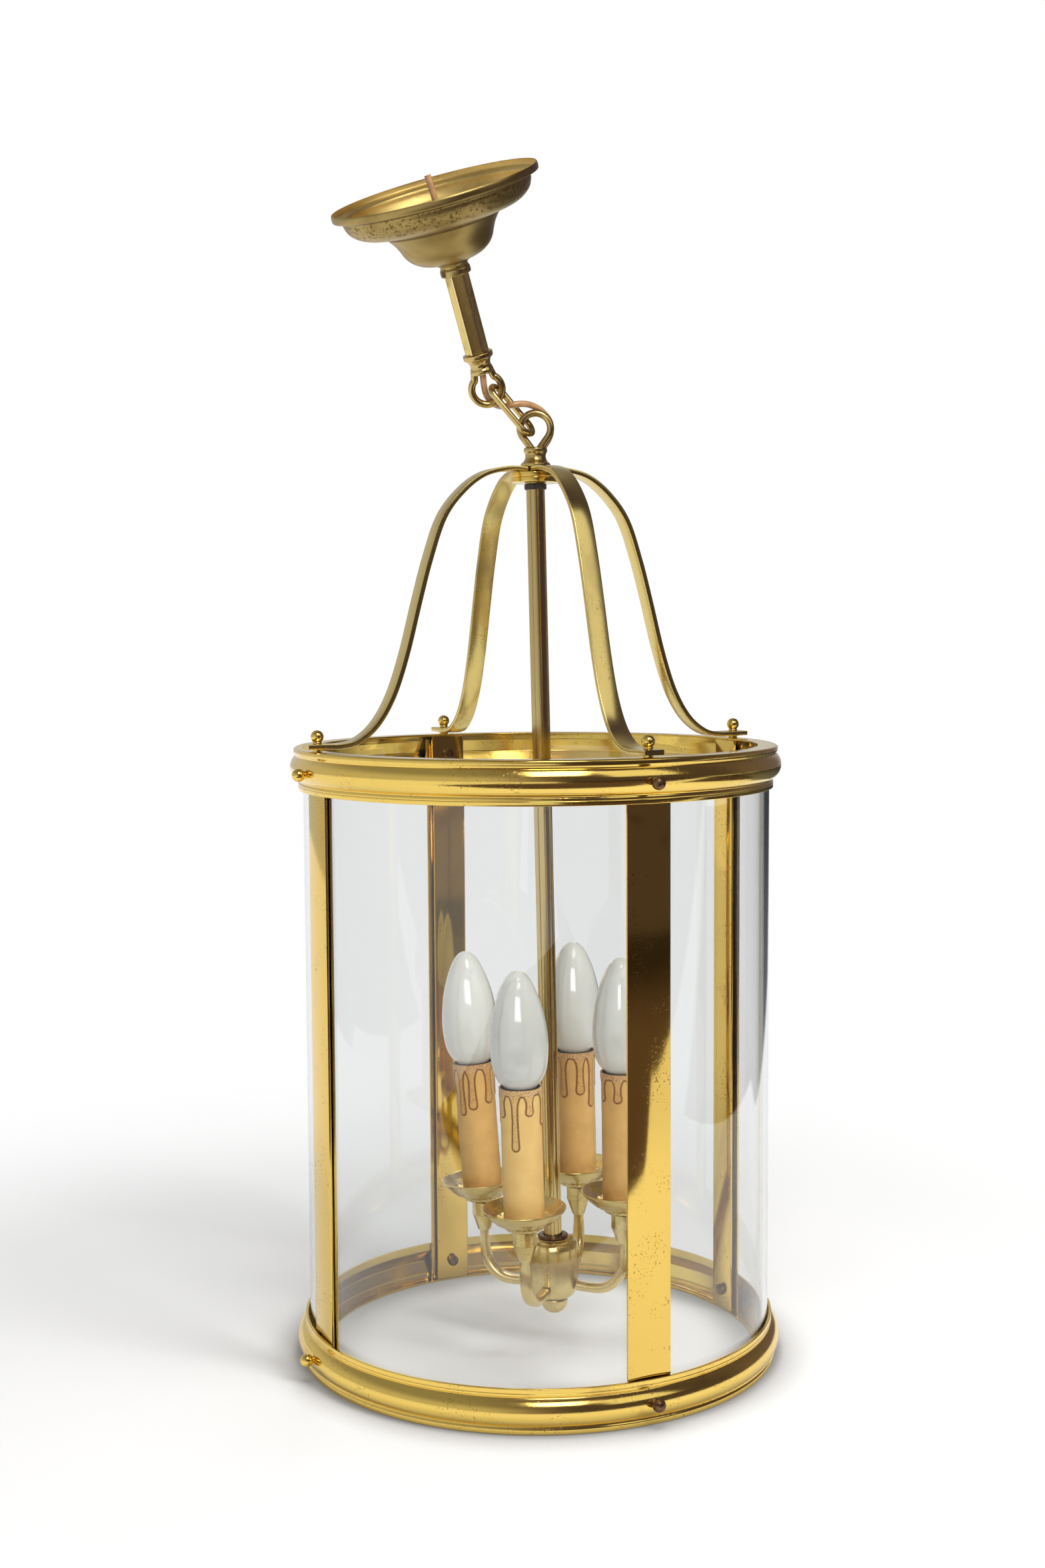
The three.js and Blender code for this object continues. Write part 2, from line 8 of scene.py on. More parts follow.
# %% Load the frame
import math

import bmesh
import bpy
from mathutils import Matrix, Vector, noise


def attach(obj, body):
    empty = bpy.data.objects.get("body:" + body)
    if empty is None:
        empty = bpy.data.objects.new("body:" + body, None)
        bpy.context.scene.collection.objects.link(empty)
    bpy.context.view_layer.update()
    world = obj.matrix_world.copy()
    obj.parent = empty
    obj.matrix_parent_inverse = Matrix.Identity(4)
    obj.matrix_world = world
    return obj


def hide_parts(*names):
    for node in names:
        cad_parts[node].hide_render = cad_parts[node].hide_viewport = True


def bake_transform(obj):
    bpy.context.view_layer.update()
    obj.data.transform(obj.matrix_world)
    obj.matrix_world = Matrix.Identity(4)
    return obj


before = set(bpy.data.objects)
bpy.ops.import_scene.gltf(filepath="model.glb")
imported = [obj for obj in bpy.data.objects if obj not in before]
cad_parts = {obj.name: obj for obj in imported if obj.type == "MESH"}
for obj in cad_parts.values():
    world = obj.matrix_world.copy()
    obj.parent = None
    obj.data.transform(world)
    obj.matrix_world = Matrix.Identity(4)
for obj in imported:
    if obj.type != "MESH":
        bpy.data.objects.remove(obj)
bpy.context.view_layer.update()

# %% [markdown]
# The camera comes first, because everything is judged through it. FOOT is the middle of the lower
# ring's underside, in millimetres of the frame. The camera's place and tilt were found from there,
# by fitting the ellipses of the two rings and of the canopy's rim. A long lens from a little over a
# metre away keeps the upright sides of the cage almost parallel. Its focal length was found in
# pixels of the photograph, so it is turned into millimetres of a sensor as high as the picture.

# %% Camera
MM = 0.001
FOOT = Vector((55.229, 34.618, -704.13))
CAMERA_FROM_FOOT = Vector((0, -1251, 457.8))
FOCAL_LENGTH, PHOTO_HEIGHT, SENSOR = 2998, 2353, 36
PAN, TILT, ROLL = 0.377, -4.51, -0.33
turn = math.radians


def moved(x=0, y=0, z=0):
    return Matrix.Translation((x, y, z))


def rotated(degrees, axis):
    return Matrix.Rotation(turn(degrees), 4, axis)


camera_data = bpy.data.cameras.new("camera")
camera_data.sensor_fit = "VERTICAL"
camera_data.sensor_height = SENSOR
camera_data.lens = FOCAL_LENGTH / PHOTO_HEIGHT * SENSOR
camera_data.clip_end = 50
camera = bpy.data.objects.new("camera", camera_data)
bpy.context.collection.objects.link(camera)
camera_spot = (FOOT + CAMERA_FROM_FOOT) * MM
camera.matrix_world = (
    moved(*camera_spot) @ rotated(PAN, "Z") @ rotated(90 + TILT, "X") @ rotated(ROLL, "Z")
)
bpy.context.scene.camera = camera
bpy.context.scene.view_settings.view_transform = "Standard"
print("camera lens", round(camera_data.lens, 1), "mm, at", [round(x, 3) for x in camera_spot])

# %% [markdown]
# The lantern stands upright. The stem leans to the left and towards the viewer, so all that belongs
# to it is drawn upright and then tilted about the centre of its eye. The candle cluster hangs on
# its tube about one degree out of plumb.

# %% Places of the assemblies
STEM_EYE = Vector((-28.8, 0, 604.1))
STEM_LEFT, STEM_FORWARD, CLUSTER_LEAN = 14.8, 18.5, 1.05
LANTERN_EYE = Vector((1, 0, 580))
FIRST_UPRIGHT = 26
UPRIGHTS = [FIRST_UPRIGHT + 90 * i for i in range(4)]
CAGE_HEIGHT = 384.1
TUBE_OFFSET, TUBE_TOP = 0.7, 552.2


def bay(place, azimuth):
    return place @ rotated(azimuth, "Z")


lantern_place = Matrix.Scale(MM, 4) @ moved(*FOOT)
hanger_place = (
    lantern_place @ moved(*STEM_EYE) @ rotated(-STEM_LEFT, "Y") @ rotated(STEM_FORWARD, "X")
)
cluster_place = (
    lantern_place @ moved(TUBE_OFFSET, 0, TUBE_TOP) @ rotated(-CLUSTER_LEAN, "Y")
    @ moved(z=-TUBE_TOP)
)
lean = hanger_place.to_3x3().col[2].angle(Vector((0, 0, 1)))
print("the stem leans", round(math.degrees(lean), 1), "degrees")


# %% [markdown]
# Shader maths reads best as plain sums. The small class below wraps a socket of a shader tree, so
# that an expression such as 1 - mask * 0.5 adds its own Math nodes.

# %% Shader helpers
class Value:
    """A socket of a shader tree that can be used in a sum."""

    def __init__(self, tree, socket):
        self.tree = tree
        self.socket = socket

    def maths(self, operation, *others):
        node = add_node(self.tree, "ShaderNodeMath", {"operation": operation}, (self, *others))
        return Value(self.tree, node.outputs[0])

    def __add__(self, other):
        return self.maths("ADD", other)

    def __sub__(self, other):
        return self.maths("SUBTRACT", other)

    def __mul__(self, other):
        return self.maths("MULTIPLY", other)

    def __rsub__(self, other):
        return self * -1 + other

    __radd__ = __add__
    __rmul__ = __mul__

    def larger(self, other):
        return self.maths("MAXIMUM", other)

    def smaller(self, other):
        return self.maths("MINIMUM", other)

    def size(self):
        return self.maths("ABSOLUTE")

    def ramp(self, low, high):
        """0 below low and 1 above high, with a smooth rise between them."""
        node = add_node(
            self.tree, "ShaderNodeMapRange", {"interpolation_type": "SMOOTHSTEP"},
            Value=self, From_Min=low, From_Max=high,
        )
        return Value(self.tree, node.outputs["Result"])


print("Value has", len([name for name in vars(Value) if callable(vars(Value)[name])]), "operations")


# %% [markdown]
# A socket can be fed by a link, by a number or by a colour. One function takes all three, and sets
# what is constant on the socket itself, so that no node is spent on it. A node is then added by one
# call that takes its kind, its settings and its sockets.

# %% Adding a node
def plug(tree, item, socket):
    """Links a value to a socket, or sets a number or a colour on it."""
    if isinstance(item, Value):
        item = item.socket
    if isinstance(item, bpy.types.NodeSocket):
        tree.links.new(item, socket)
    elif socket.type == "RGBA" and len(item) == 3:
        socket.default_value = (*item, 1)
    else:
        socket.default_value = item


def feed(tree, node, items):
    """Feeds a node's sockets by name, with an underscore for a space."""
    for name, item in items.items():
        plug(tree, item, node.inputs[name.replace("_", " ")])


def add_node(tree, kind, settings=None, ordered=(), **named):
    """Adds a node: its settings first, then its sockets in order, then its sockets by name."""
    node = tree.nodes.new(kind)
    for key, setting in (settings or {}).items():
        setattr(node, key, setting)
    for item, socket in zip(ordered, node.inputs):
        plug(tree, item, socket)
    feed(tree, node, named)
    return node


def mixed(tree, factor, first, second):
    node = add_node(tree, "ShaderNodeMix", {"data_type": "RGBA"}, (factor,))
    plug(tree, first, node.inputs[6])
    plug(tree, second, node.inputs[7])
    return Value(tree, node.outputs[2])


print("a socket takes a link, a number or a colour")


# %% [markdown]
# A finish starts from the Principled shader and reads Object coordinates, which are metres on the
# finished pieces. Colours are mixed by a Mix node, because a Math node would turn them grey.

# %% The Finish class
class Finish:
    """A material under construction."""

    def __init__(self, name):
        self.material = bpy.data.materials.new(name)
        self.material.use_nodes = True
        self.tree = self.material.node_tree
        self.shader = self.tree.nodes["Principled BSDF"]
        self.coords = self.node("ShaderNodeTexCoord", out="Object")

    def node(self, kind, settings=None, ordered=(), out=0, **named):
        return Value(self.tree, add_node(self.tree, kind, settings, ordered, **named).outputs[out])

    def noise(self, scale, detail, roughness, vector=None, warp=0.0):
        return self.node(
            "ShaderNodeTexNoise", Vector=vector or self.coords, Scale=scale, Detail=detail,
            Roughness=roughness, Distortion=warp,
        )

    def mix(self, factor, first, second):
        return mixed(self.tree, factor, first, second)

    def attribute(self, name):
        return self.node("ShaderNodeAttribute", {"attribute_name": name}, out="Fac")

    def bump(self, height, strength, distance=0.0003):
        raised = self.node("ShaderNodeBump", Height=height, Strength=strength, Distance=distance)
        plug(self.tree, raised, self.shader.inputs["Normal"])

    def blend(self, factor, first, second):
        """Mixes two shaders into the material's output."""
        both = self.node("ShaderNodeMixShader", ordered=(factor, first, second))
        plug(self.tree, both, self.tree.nodes["Material Output"].inputs[0])

    def surface(self, **sockets):
        feed(self.tree, self.shader, sockets)
        return self.material


print("a finish is drawn on", Finish("trial").shader.type)
bpy.data.materials.remove(bpy.data.materials["trial"])


# %% [markdown]
# Old lacquered brass is never one colour. The lacquer has yellowed, it holds clouds of brown
# tarnish, pin-head spots where it has let go, and fine rubbing marks that break up the reflections.
# The same recipe, with more tarnish and less gloss, serves the canopy and the stem, which were
# never polished.

# %% Brass
def brass(name, bright, dull, tarnish, roughness, specks, rub=0.1, cloud_scale=26, band=None):
    """tarnish is the clouded share of the surface, and specks is how strong its spots are."""
    finish = Finish(name)
    clouds = finish.noise(cloud_scale, 4, 0.55, warp=0.3)
    fine = finish.noise(420, 3, 0.6)
    where = finish.noise(45, 2, 0.5).ramp(0.48, 0.62)
    groove_darkening = 0
    if band is not None:
        spotted, groove_darkening = band(finish)
        where = where * 0.15 + spotted
    pits = (finish.noise(780, 1, 0.5).ramp(0.62, 0.69) * where).smaller(1)
    clouded = clouds.ramp(0.68 - tarnish * 0.42, 0.86 - tarnish * 0.3) * 0.8
    stained = (clouded + pits * specks + groove_darkening).smaller(1)
    if band is not None:
        stained = stained.larger(finish.noise(360, 2, 0.6).ramp(0.56, 0.63) * spotted * 0.85)
    drawn_out = finish.node("ShaderNodeMapping", Vector=finish.coords, Scale=(1, 1, 14))
    rubbing = finish.noise(60, 2, 0.5, vector=drawn_out)
    finish.bump(fine * 0.4 + clouds * 0.5 - pits * specks * 3, rub)
    return finish.surface(
        Base_Color=finish.mix(stained, bright, dull), Metallic=1,
        Roughness=stained * 0.2 + fine * 0.05 + rubbing * 0.05 + roughness,
    )


polished = brass("polished_brass", (0.86, 0.61, 0.15), (0.44, 0.27, 0.06), 0.14, 0.10, 0.7)
strips_brass = brass(
    "strip_brass", (0.80, 0.55, 0.13), (0.42, 0.24, 0.06), 0.16, 0.03, 0.9, rub=0.04
)
print("brass for the rings and for the strips")


# %% [markdown]
# The canopy was damp where its bold band meets the rim, so the spots are heaviest there, and the
# two grooves beside the band are darker. They are placed by the height along the leaning stem,
# which a Mapping node measures.

# %% The canopy's spotted band
def ovolo_band(finish):
    """Specks on the canopy's bold band, and darker lines in the two grooves beside it."""
    rim_groove, ovolo_groove = 0.1192, 0.1027
    local = finish.node(
        "ShaderNodeMapping", {"vector_type": "TEXTURE"}, Vector=finish.coords,
        Location=hanger_place.to_translation(), Rotation=hanger_place.to_euler(),
    )
    along = finish.node("ShaderNodeSeparateXYZ", Vector=local, out="Z")
    spotted = along.ramp(0.1065, 0.109) * (1 - along.ramp(0.1185, 0.1205))
    # Darker lines along the two grooves beside the band.
    under_rim = 1 - (along - rim_groove).size().ramp(0.0002, 0.0009)
    under_ovolo = 1 - (along - ovolo_groove).size().ramp(0.0003, 0.0011)
    return spotted, under_rim.larger(under_ovolo) * 0.9


patinated = brass(
    "patinated_brass", (0.72, 0.56, 0.20), (0.40, 0.30, 0.12), 0.36, 0.16, 0.5, rub=0.04,
    cloud_scale=14,
)
eye_brass = brass(
    "eye_brass", (0.62, 0.46, 0.17), (0.30, 0.20, 0.08), 0.36, 0.17, 0.0, rub=0.005, cloud_scale=40
)
tarnished = brass(
    "stem_brass", (0.54, 0.41, 0.15), (0.22, 0.14, 0.05), 0.50, 0.28, 0.8, rub=0.2, cloud_scale=60
)
spun_brass = brass(
    "spun_brass", (0.43, 0.31, 0.11), (0.20, 0.13, 0.04), 0.40, 0.33, 1.0, rub=0.15, cloud_scale=18,
    band=ovolo_band,
)
dish_brass = brass(
    "dish_brass", (0.80, 0.60, 0.22), (0.46, 0.32, 0.11), 0.32, 0.44, 0.5, cloud_scale=18
)
tube_brass = brass(
    "tube_brass", (0.62, 0.48, 0.21), (0.40, 0.29, 0.12), 0.30, 0.10, 0.0, rub=0.015, cloud_scale=14
)
cast_brass = brass("cast_brass", (0.70, 0.55, 0.23), (0.46, 0.34, 0.13), 0.30, 0.20, 0.3, rub=0.2)
kinds = [item.name for item in bpy.data.materials if "brass" in item.name]
print("kinds of brass:", ", ".join(kinds))


# %% [markdown]
# The other finishes are quieter. The glass is clear, with a faint grey cast, and lets the shadow
# rays of the lamps through, so that what stands inside is lit. The bulbs are opal glass. The flex
# is a pink-brown cord under an aged clear sheath, which gives it its wet shine.

# %% Glass, opal, dark metal, plastic and flex
def ray_facts(tree, *names):
    """What the Light Path node knows of a ray, such as Is Camera Ray."""
    rays = add_node(tree, "ShaderNodeLightPath")
    return [Value(tree, rays.outputs[name]) for name in names]


def clear_glass():
    finish = Finish("clear_glass")
    finish.surface(
        Base_Color=(0.902, 0.912, 0.909), Roughness=0.0, IOR=1.47, Transmission_Weight=1.0
    )
    clear = finish.node("ShaderNodeBsdfTransparent", Color=(0.96, 0.965, 0.965))
    shadow, spread = ray_facts(finish.tree, "Is Shadow Ray", "Is Diffuse Ray")
    finish.blend(shadow.larger(spread), finish.shader.outputs[0], clear)
    return finish.material


def plain_finish(name, colour, shade, scale, roughness, metallic=0.0, coat=0.0, bump=0.1):
    finish = Finish(name)
    grain = finish.noise(scale, 4, 0.6)
    finish.bump(grain, bump)
    return finish.surface(
        Base_Color=finish.mix(grain.ramp(0.35, 0.7), colour, shade), Metallic=metallic,
        Roughness=grain * 0.15 + roughness, Coat_Weight=coat,
    )


def opal_glass():
    finish = Finish("opal_glass")
    cloud = finish.noise(30, 3, 0.6)
    return finish.surface(
        Base_Color=finish.mix(cloud.ramp(0.3, 0.75), (0.76, 0.77, 0.72), (0.70, 0.71, 0.67)),
        Roughness=0.12, Coat_Weight=1.0, Coat_Roughness=0.04,
        Subsurface_Weight=0.15, Subsurface_Radius=(0.012, 0.012, 0.011), Subsurface_Scale=0.5,
    )


glass = clear_glass()
opal = opal_glass()
black_plastic = plain_finish(
    "black_plastic", (0.018, 0.016, 0.015), (0.05, 0.042, 0.036), 300, 0.35
)
dark_steel = plain_finish(
    "dark_steel", (0.07, 0.045, 0.03), (0.16, 0.09, 0.05), 260, 0.4, metallic=0.8
)
dark_screw = plain_finish(
    "browned_screw", (0.10, 0.055, 0.03), (0.23, 0.13, 0.06), 340, 0.28, metallic=0.9
)
sheath = plain_finish(
    "flex_sheath", (0.44, 0.24, 0.10), (0.32, 0.15, 0.055), 120, 0.18, coat=1.0, bump=0.02
)
print(len(bpy.data.materials), "finishes so far")


# %% [markdown]
# Most pieces are drawn in one of three ways. A turned piece is a profile spun round an axis, just
# as it was made on a lathe. A wire is a circle carried along a path. A piece that repeats is made
# once and set out round the lantern's axis. Each way is one small Geometry Nodes tree.

# %% Node trees
def new_tree(name, **inputs):
    """A tree that takes a shape, the given inputs and a finish, and gives a piece."""
    tree = bpy.data.node_groups.new(name, "GeometryNodeTree")
    for label, kind in {"Shape": "Geometry", **inputs, "Finish": "Material"}.items():
        tree.interface.new_socket(label, in_out="INPUT", socket_type=f"NodeSocket{kind}")
    tree.interface.new_socket("Piece", in_out="OUTPUT", socket_type="NodeSocketGeometry")
    return tree, tree.nodes.new("NodeGroupInput").outputs


def finish_tree(tree, given, source, *nodes):
    """Links the nodes in a row from the source, and ends the row as every tree ends."""
    realize = add_node(tree, "GeometryNodeRealizeInstances")
    material = add_node(tree, "GeometryNodeSetMaterial", Material=given["Finish"])
    for node in (*nodes, realize, material):
        tree.links.new(source, node.inputs[0])
        source = node.outputs[0]
    add_node(tree, "NodeGroupOutput", ordered=(source,))
    print(tree.name, "takes", ", ".join(socket.name for socket in given if socket.name))


turning, given = new_tree("turning", Steps="Int")
circle = add_node(turning, "GeometryNodeCurvePrimitiveCircle", Radius=1, Resolution=given["Steps"])
upright = add_node(turning, "GeometryNodeSetCurveNormal", {"mode": "Z_UP"})
sweep = add_node(turning, "GeometryNodeCurveToMesh", Profile_Curve=given["Shape"])
finish_tree(turning, given, circle.outputs["Curve"], upright, sweep)

wiring, given = new_tree("wiring", Radius="Float", Sides="Int")
circle = add_node(
    wiring, "GeometryNodeCurvePrimitiveCircle", Radius=given["Radius"], Resolution=given["Sides"]
)
sweep = add_node(
    wiring, "GeometryNodeCurveToMesh", Profile_Curve=circle.outputs["Curve"], Fill_Caps=True
)
finish_tree(wiring, given, given["Shape"], sweep)

setting_out, given = new_tree("setting_out", Copies="Int", Step="Float", Start="Float")
line = add_node(setting_out, "GeometryNodeMeshLine", Offset=(0, 0, 0), Count=given["Copies"])
index = add_node(setting_out, "GeometryNodeInputIndex").outputs[0]
angle = add_node(
    setting_out, "ShaderNodeMath", {"operation": "MULTIPLY_ADD"},
    (index, given["Step"], given["Start"]),
)
about_z = add_node(setting_out, "ShaderNodeCombineXYZ", Z=angle.outputs[0])
copies = add_node(
    setting_out, "GeometryNodeInstanceOnPoints",
    Instance=given["Shape"], Rotation=about_z.outputs[0],
)
finish_tree(setting_out, given, line.outputs[0], copies)


# %% [markdown]
# A tree is used through one helper. It puts the tree on a raw shape as a modifier, sets the named
# inputs, takes the evaluated mesh and throws the raw shape away, so that only plain meshes are
# left.

# %% Using the trees
def scene_object(name, data):
    thing = bpy.data.objects.new(name, data)
    bpy.context.collection.objects.link(thing)
    return thing


def grown(data, tree, **inputs):
    """The plain mesh that a tree makes of a raw shape."""
    raw = scene_object("raw", data)
    modifier = raw.modifiers.new("nodes", "NODES")
    modifier.node_group = tree
    for item in tree.interface.items_tree:
        if item.in_out == "INPUT" and item.name in inputs:
            modifier[item.identifier] = inputs[item.name]
    bpy.context.view_layer.update()
    depsgraph = bpy.context.evaluated_depsgraph_get()
    mesh = bpy.data.meshes.new_from_object(raw.evaluated_get(depsgraph))
    bpy.data.objects.remove(raw)
    return mesh


print(scene_object.__name__, "and", grown.__name__, "are ready")


# %% [markdown]
# Outlines and paths are drawn as poly lines. A bare polygon would give every bend a hard crease, so
# corners can be eased, as a tool leaves them, and free shapes are drawn as one flowing line through
# a few measured points.

# %% Lines and outlines
def drawn_line(points, closed=False, flat=False):
    data = bpy.data.curves.new("line", "CURVE")
    data.dimensions = "2D" if flat else "3D"
    if flat:
        data.fill_mode = "NONE"
    spline = data.splines.new("POLY")
    spline.points.add(len(points) - 1)
    for spot, place in zip(spline.points, points):
        spot.co = (*place, 1) if len(place) == 3 else (*place, 0, 1)
    spline.use_cyclic_u = closed
    return data


NEARLY_STRAIGHT = 172


def eased(points, reach, closed=True, steps=3):
    """Rounds the corners with short curves that start at most reach away from each corner."""
    result = []
    count = len(points)
    for i, corner in enumerate(points):
        here = Vector(corner)
        back = Vector(points[i - 1]) - here
        on = Vector(points[(i + 1) % count]) - here
        at_an_end = not closed and i in (0, count - 1)
        doubled = back.length < 1e-6 or on.length < 1e-6
        if at_an_end or doubled or back.angle(on, math.pi) > turn(NEARLY_STRAIGHT):
            result.append(tuple(here))
            continue
        first = here + back.normalized() * min(reach, back.length * 0.45)
        last = here + on.normalized() * min(reach, on.length * 0.45)
        for k in range(steps + 1):
            t = k / steps
            result.append(tuple(first * (1 - t) ** 2 + here * 2 * t * (1 - t) + last * t ** 2))
    return result


def polar(radius, degrees):
    return radius * math.cos(turn(degrees)), radius * math.sin(turn(degrees))


def arc(centre_x, centre_y, radius, start, end, steps):
    """Points of a circular arc, in degrees."""
    spots = [polar(radius, start + (end - start) * i / steps) for i in range(steps + 1)]
    return [(centre_x + x, centre_y + y) for x, y in spots]


def flowing(points, steps=8, closed=False):
    """A smooth line through the points, closed or open."""
    spots = [Vector(p) for p in points]
    if closed:
        spots = [spots[-1], *spots, spots[0], spots[1]]
    else:
        spots = [spots[0] * 2 - spots[1], *spots, spots[-1] * 2 - spots[-2]]
    result = []
    for a, b, c, d in zip(spots, spots[1:], spots[2:], spots[3:]):
        for k in range(steps):
            t = k / steps
            result.append(tuple(0.5 * (
                2 * b + (c - a) * t + (2 * a - 5 * b + 4 * c - d) * t ** 2
                + (3 * b - a - 3 * c + d) * t ** 3
            )))
    if not closed:
        result.append(tuple(spots[-2]))
    return result


quarter = [(round(x, 2), round(y, 2)) for x, y in arc(0, 0, 1, 0, 90, 3)]
print("a quarter circle in three steps:", quarter)


# %% [markdown]
# Spinning a profile leaves doubled points on the axis and can turn a shape inside out. Every mesh
# is therefore mended: doubles merged, faces turned outwards, and only real edges left sharp.

# %% Mending and the three ways
def mended(mesh, sharp=35):
    """Merges doubled points, turns the faces outwards and keeps only real edges sharp."""
    work = bmesh.new()
    work.from_mesh(mesh)
    bmesh.ops.remove_doubles(work, verts=work.verts, dist=1e-4)
    bmesh.ops.dissolve_degenerate(work, edges=work.edges, dist=1e-4)
    bmesh.ops.recalc_face_normals(work, faces=work.faces)
    if work.calc_volume(signed=True) < 0:
        bmesh.ops.reverse_faces(work, faces=work.faces)
    work.to_mesh(mesh)
    work.free()
    mesh.shade_smooth()
    mesh.set_sharp_from_angle(angle=turn(sharp))
    return mesh


def turned(profile, steps, material, closed=True):
    """A turned solid from (radius, height) points. An open profile starts and ends on the axis."""
    outline = [(radius - 1, -height) for radius, height in profile]
    mesh = grown(drawn_line(outline, closed, flat=True), turning, Steps=steps, Finish=material)
    return mended(mesh)


def bent_wire(path, radius, material, closed=False, sides=24):
    mesh = grown(drawn_line(path, closed), wiring, Radius=radius, Sides=sides, Finish=material)
    return mended(mesh, 60)


def set_out(mesh, material, copies=4, start=FIRST_UPRIGHT):
    """Copies of a piece a quarter turn apart round the lantern's axis."""
    return mended(grown(
        mesh, setting_out, Copies=copies, Step=turn(90), Start=turn(start), Finish=material
    ))


trial = turned([(1, 0), (2, 0), (2, 3), (1, 3)], 12, polished)
print("a trial bush has", len(trial.polygons), "faces")
bpy.data.meshes.remove(trial)


# %% [markdown] A finished piece has its place baked into its mesh, because the exported model
# reads it so.

# %% Standing a piece in the frame
def stand(name, mesh, place, body, slot, *nodes, material=None):
    """Makes a finished piece of a mesh: in its place, on its body, and for its CAD nodes."""
    mesh.transform(place)
    if material is not None:
        mesh.materials.clear()
        mesh.materials.append(material)
    mesh.update()
    thing = scene_object(name, mesh)
    if body:
        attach(thing, body)
    if nodes:
        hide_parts(*nodes)
    print(name, "has", len(mesh.polygons), "faces and rides on", body or "two bodies")
    return thing


def numbered(name):
    return [f"{name}_{i}" for i in range(1, 5)]


print("pieces start with", len(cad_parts), "CAD nodes")

# %% [markdown]
# The flex is one thin limp cord. It comes up the stem and ends bare inside the canopy. Below the
# stem it hangs slack: out of the ferrule, behind the stem's eye, between the two sides of the link,
# over the lantern's eye and into the back of its mount. The slack is two runs that meet inside the
# link. The straight runs inside the stem and the centre tube are seen by nobody, so they stay CAD
# solids in the sheath's finish.

# %% Flex
FLEX_RADIUS = 2.0
tail_route = [
    (0, 0, 91.6), (0, 0, 94.4), (-0.1, -1, 98), (-0.3, -3.3, 101.3), (-0.5, -6.4, 104.3),
    (-0.6, -8.6, 108.5), (-0.7, -9.2, 114), (-0.9, -8.8, 120), (-1.2, -7.8, 126),
    (-1.6, -6.2, 132.6),
]
upper_route = [
    (-31.2, -3.1, 612.6), (-30.9, -2.2, 609.2), (-30.5, 0.1, 605.4), (-29.7, 3.4, 602),
    (-27.9, 6.5, 598.9), (-25.2, 7.9, 596.4), (-22, 6.8, 594.7), (-19, 3.8, 593.9),
    (-16.8, 1.4, 593.9),
]
lower_route = [
    (-16.3, 0.9, 593.9), (-13.4, -1.2, 594.3), (-8.6, -0.8, 595), (-4.4, 0.9, 595),
    (-0.4, 2.6, 594), (3.6, 4.1, 592), (7, 5, 589), (9.5, 5.1, 585.6), (10.6, 5.1, 581.8),
    (10.5, 5.2, 577.6), (9.2, 5.7, 573.9), (7, 5.8, 570.4), (4.7, 5, 567.6),
]


def flex_run(name, route, place, body=None, ends=()):
    """One run of the cord, on one body, or baked into the frame where its ends lie on two bodies.
    """
    line = flowing(route, 6)
    cord = bent_wire(line, FLEX_RADIUS, sheath)
    run = stand(f"{name}_run", cord, place, body, "flex_sheath", name)
    path = [place @ Vector(point) for point in line]
    length = sum((b - a).length for a, b in zip(path, path[1:]))
    print(name, "is", round(length / MM, 1), "mm long")
    if ends:
        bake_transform(run)


flex_run("flex_tail", tail_route, hanger_place, body="stem")
flex_run("flex_upper", upper_route, lantern_place, ends=("stem", "link"))
flex_run("flex_lower", lower_route, lantern_place, ends=("link", "lantern"))
for name in ("flex_in_stem", "flex_in_tube"):
    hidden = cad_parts[name]
    hidden.data.materials.clear()
    hidden.data.materials.append(sheath)

# %% [markdown]
# The two rings give the lantern its look. Each was pressed from thin brass sheet: a flat flange, a
# groove, a bold half-round bead, another groove and a straight lip. The lower ring is the upper one
# turned over. The profile is drawn once and spun.

# %% Rings
bead = arc(143.4, 12, 9.6, -47, 60, 26)
ring_profile = [
    *eased([
        (146.5, 26), (146.5, 21), (151.2, 13), (148.4, 5), (148.4, 1.2), (138.5, 1.2),
    ], 0.5, closed=False),
    *eased([
        (138.5, 1.2), (138.5, 0), (149.7, 0), (150.8, 0.8), (150.8, 3.2), (150.1, 4.3), bead[0],
    ], 0.45, closed=False)[1:-1],
    *bead,
    *eased([
        bead[-1], (147.7, 20.9), (148.1, 21.9), (148.15, 23.0), (147.9, 23.25), (148.15, 23.5),
        (148.1, 26), (146.5, 26),
    ], 0.3, closed=False)[1:-1],
]
turned_over = [(radius, CAGE_HEIGHT - height) for radius, height in ring_profile]
for level, profile in (("lower", ring_profile), ("upper", turned_over)):
    ring = turned(profile, 200, polished)
    stand(f"{level}_ring_moulding", ring, lantern_place, "lantern", "brass", f"{level}_ring")

# %% [markdown]
# Small ball-headed screws hold the mouldings to the uprights and the crown's feet to the upper
# ring. One screw is turned, laid on its side and set out three times round each ring. The fourth,
# on the front strip, has lost its lacquer and gone brown, so it is a piece of its own.

# %% Screws
SCREW_HEIGHT = 13.75
SCREW_LEVELS = {"lower": SCREW_HEIGHT, "upper": CAGE_HEIGHT - SCREW_HEIGHT}
CROWN_FOOT_RADIUS = 144.6
on_its_side = rotated(90, "X")

side_screw = turned([
    (0, 150.4),
    *eased([
        (2.1, 150.4), (2.8, 150.6), (2.8, 152.2), (2.0, 152.9), (2.0, 153.2),
    ], 0.3, closed=False),
    *arc(0, 156.7, 4, -58, 90, 18)[:-1], (0, 160.7),
], 28, polished, closed=False)
side_screw.transform(on_its_side)
for level, height in SCREW_LEVELS.items():
    place = lantern_place @ moved(z=height)
    bright_screws = set_out(side_screw.copy(), polished, copies=3, start=UPRIGHTS[1])
    stand(f"{level}_ball_screws", bright_screws, place, "lantern", "brass")
    stand(f"{level}_brown_screw", side_screw.copy(), bay(place, FIRST_UPRIGHT), "lantern",
          "dark_steel", material=dark_screw)

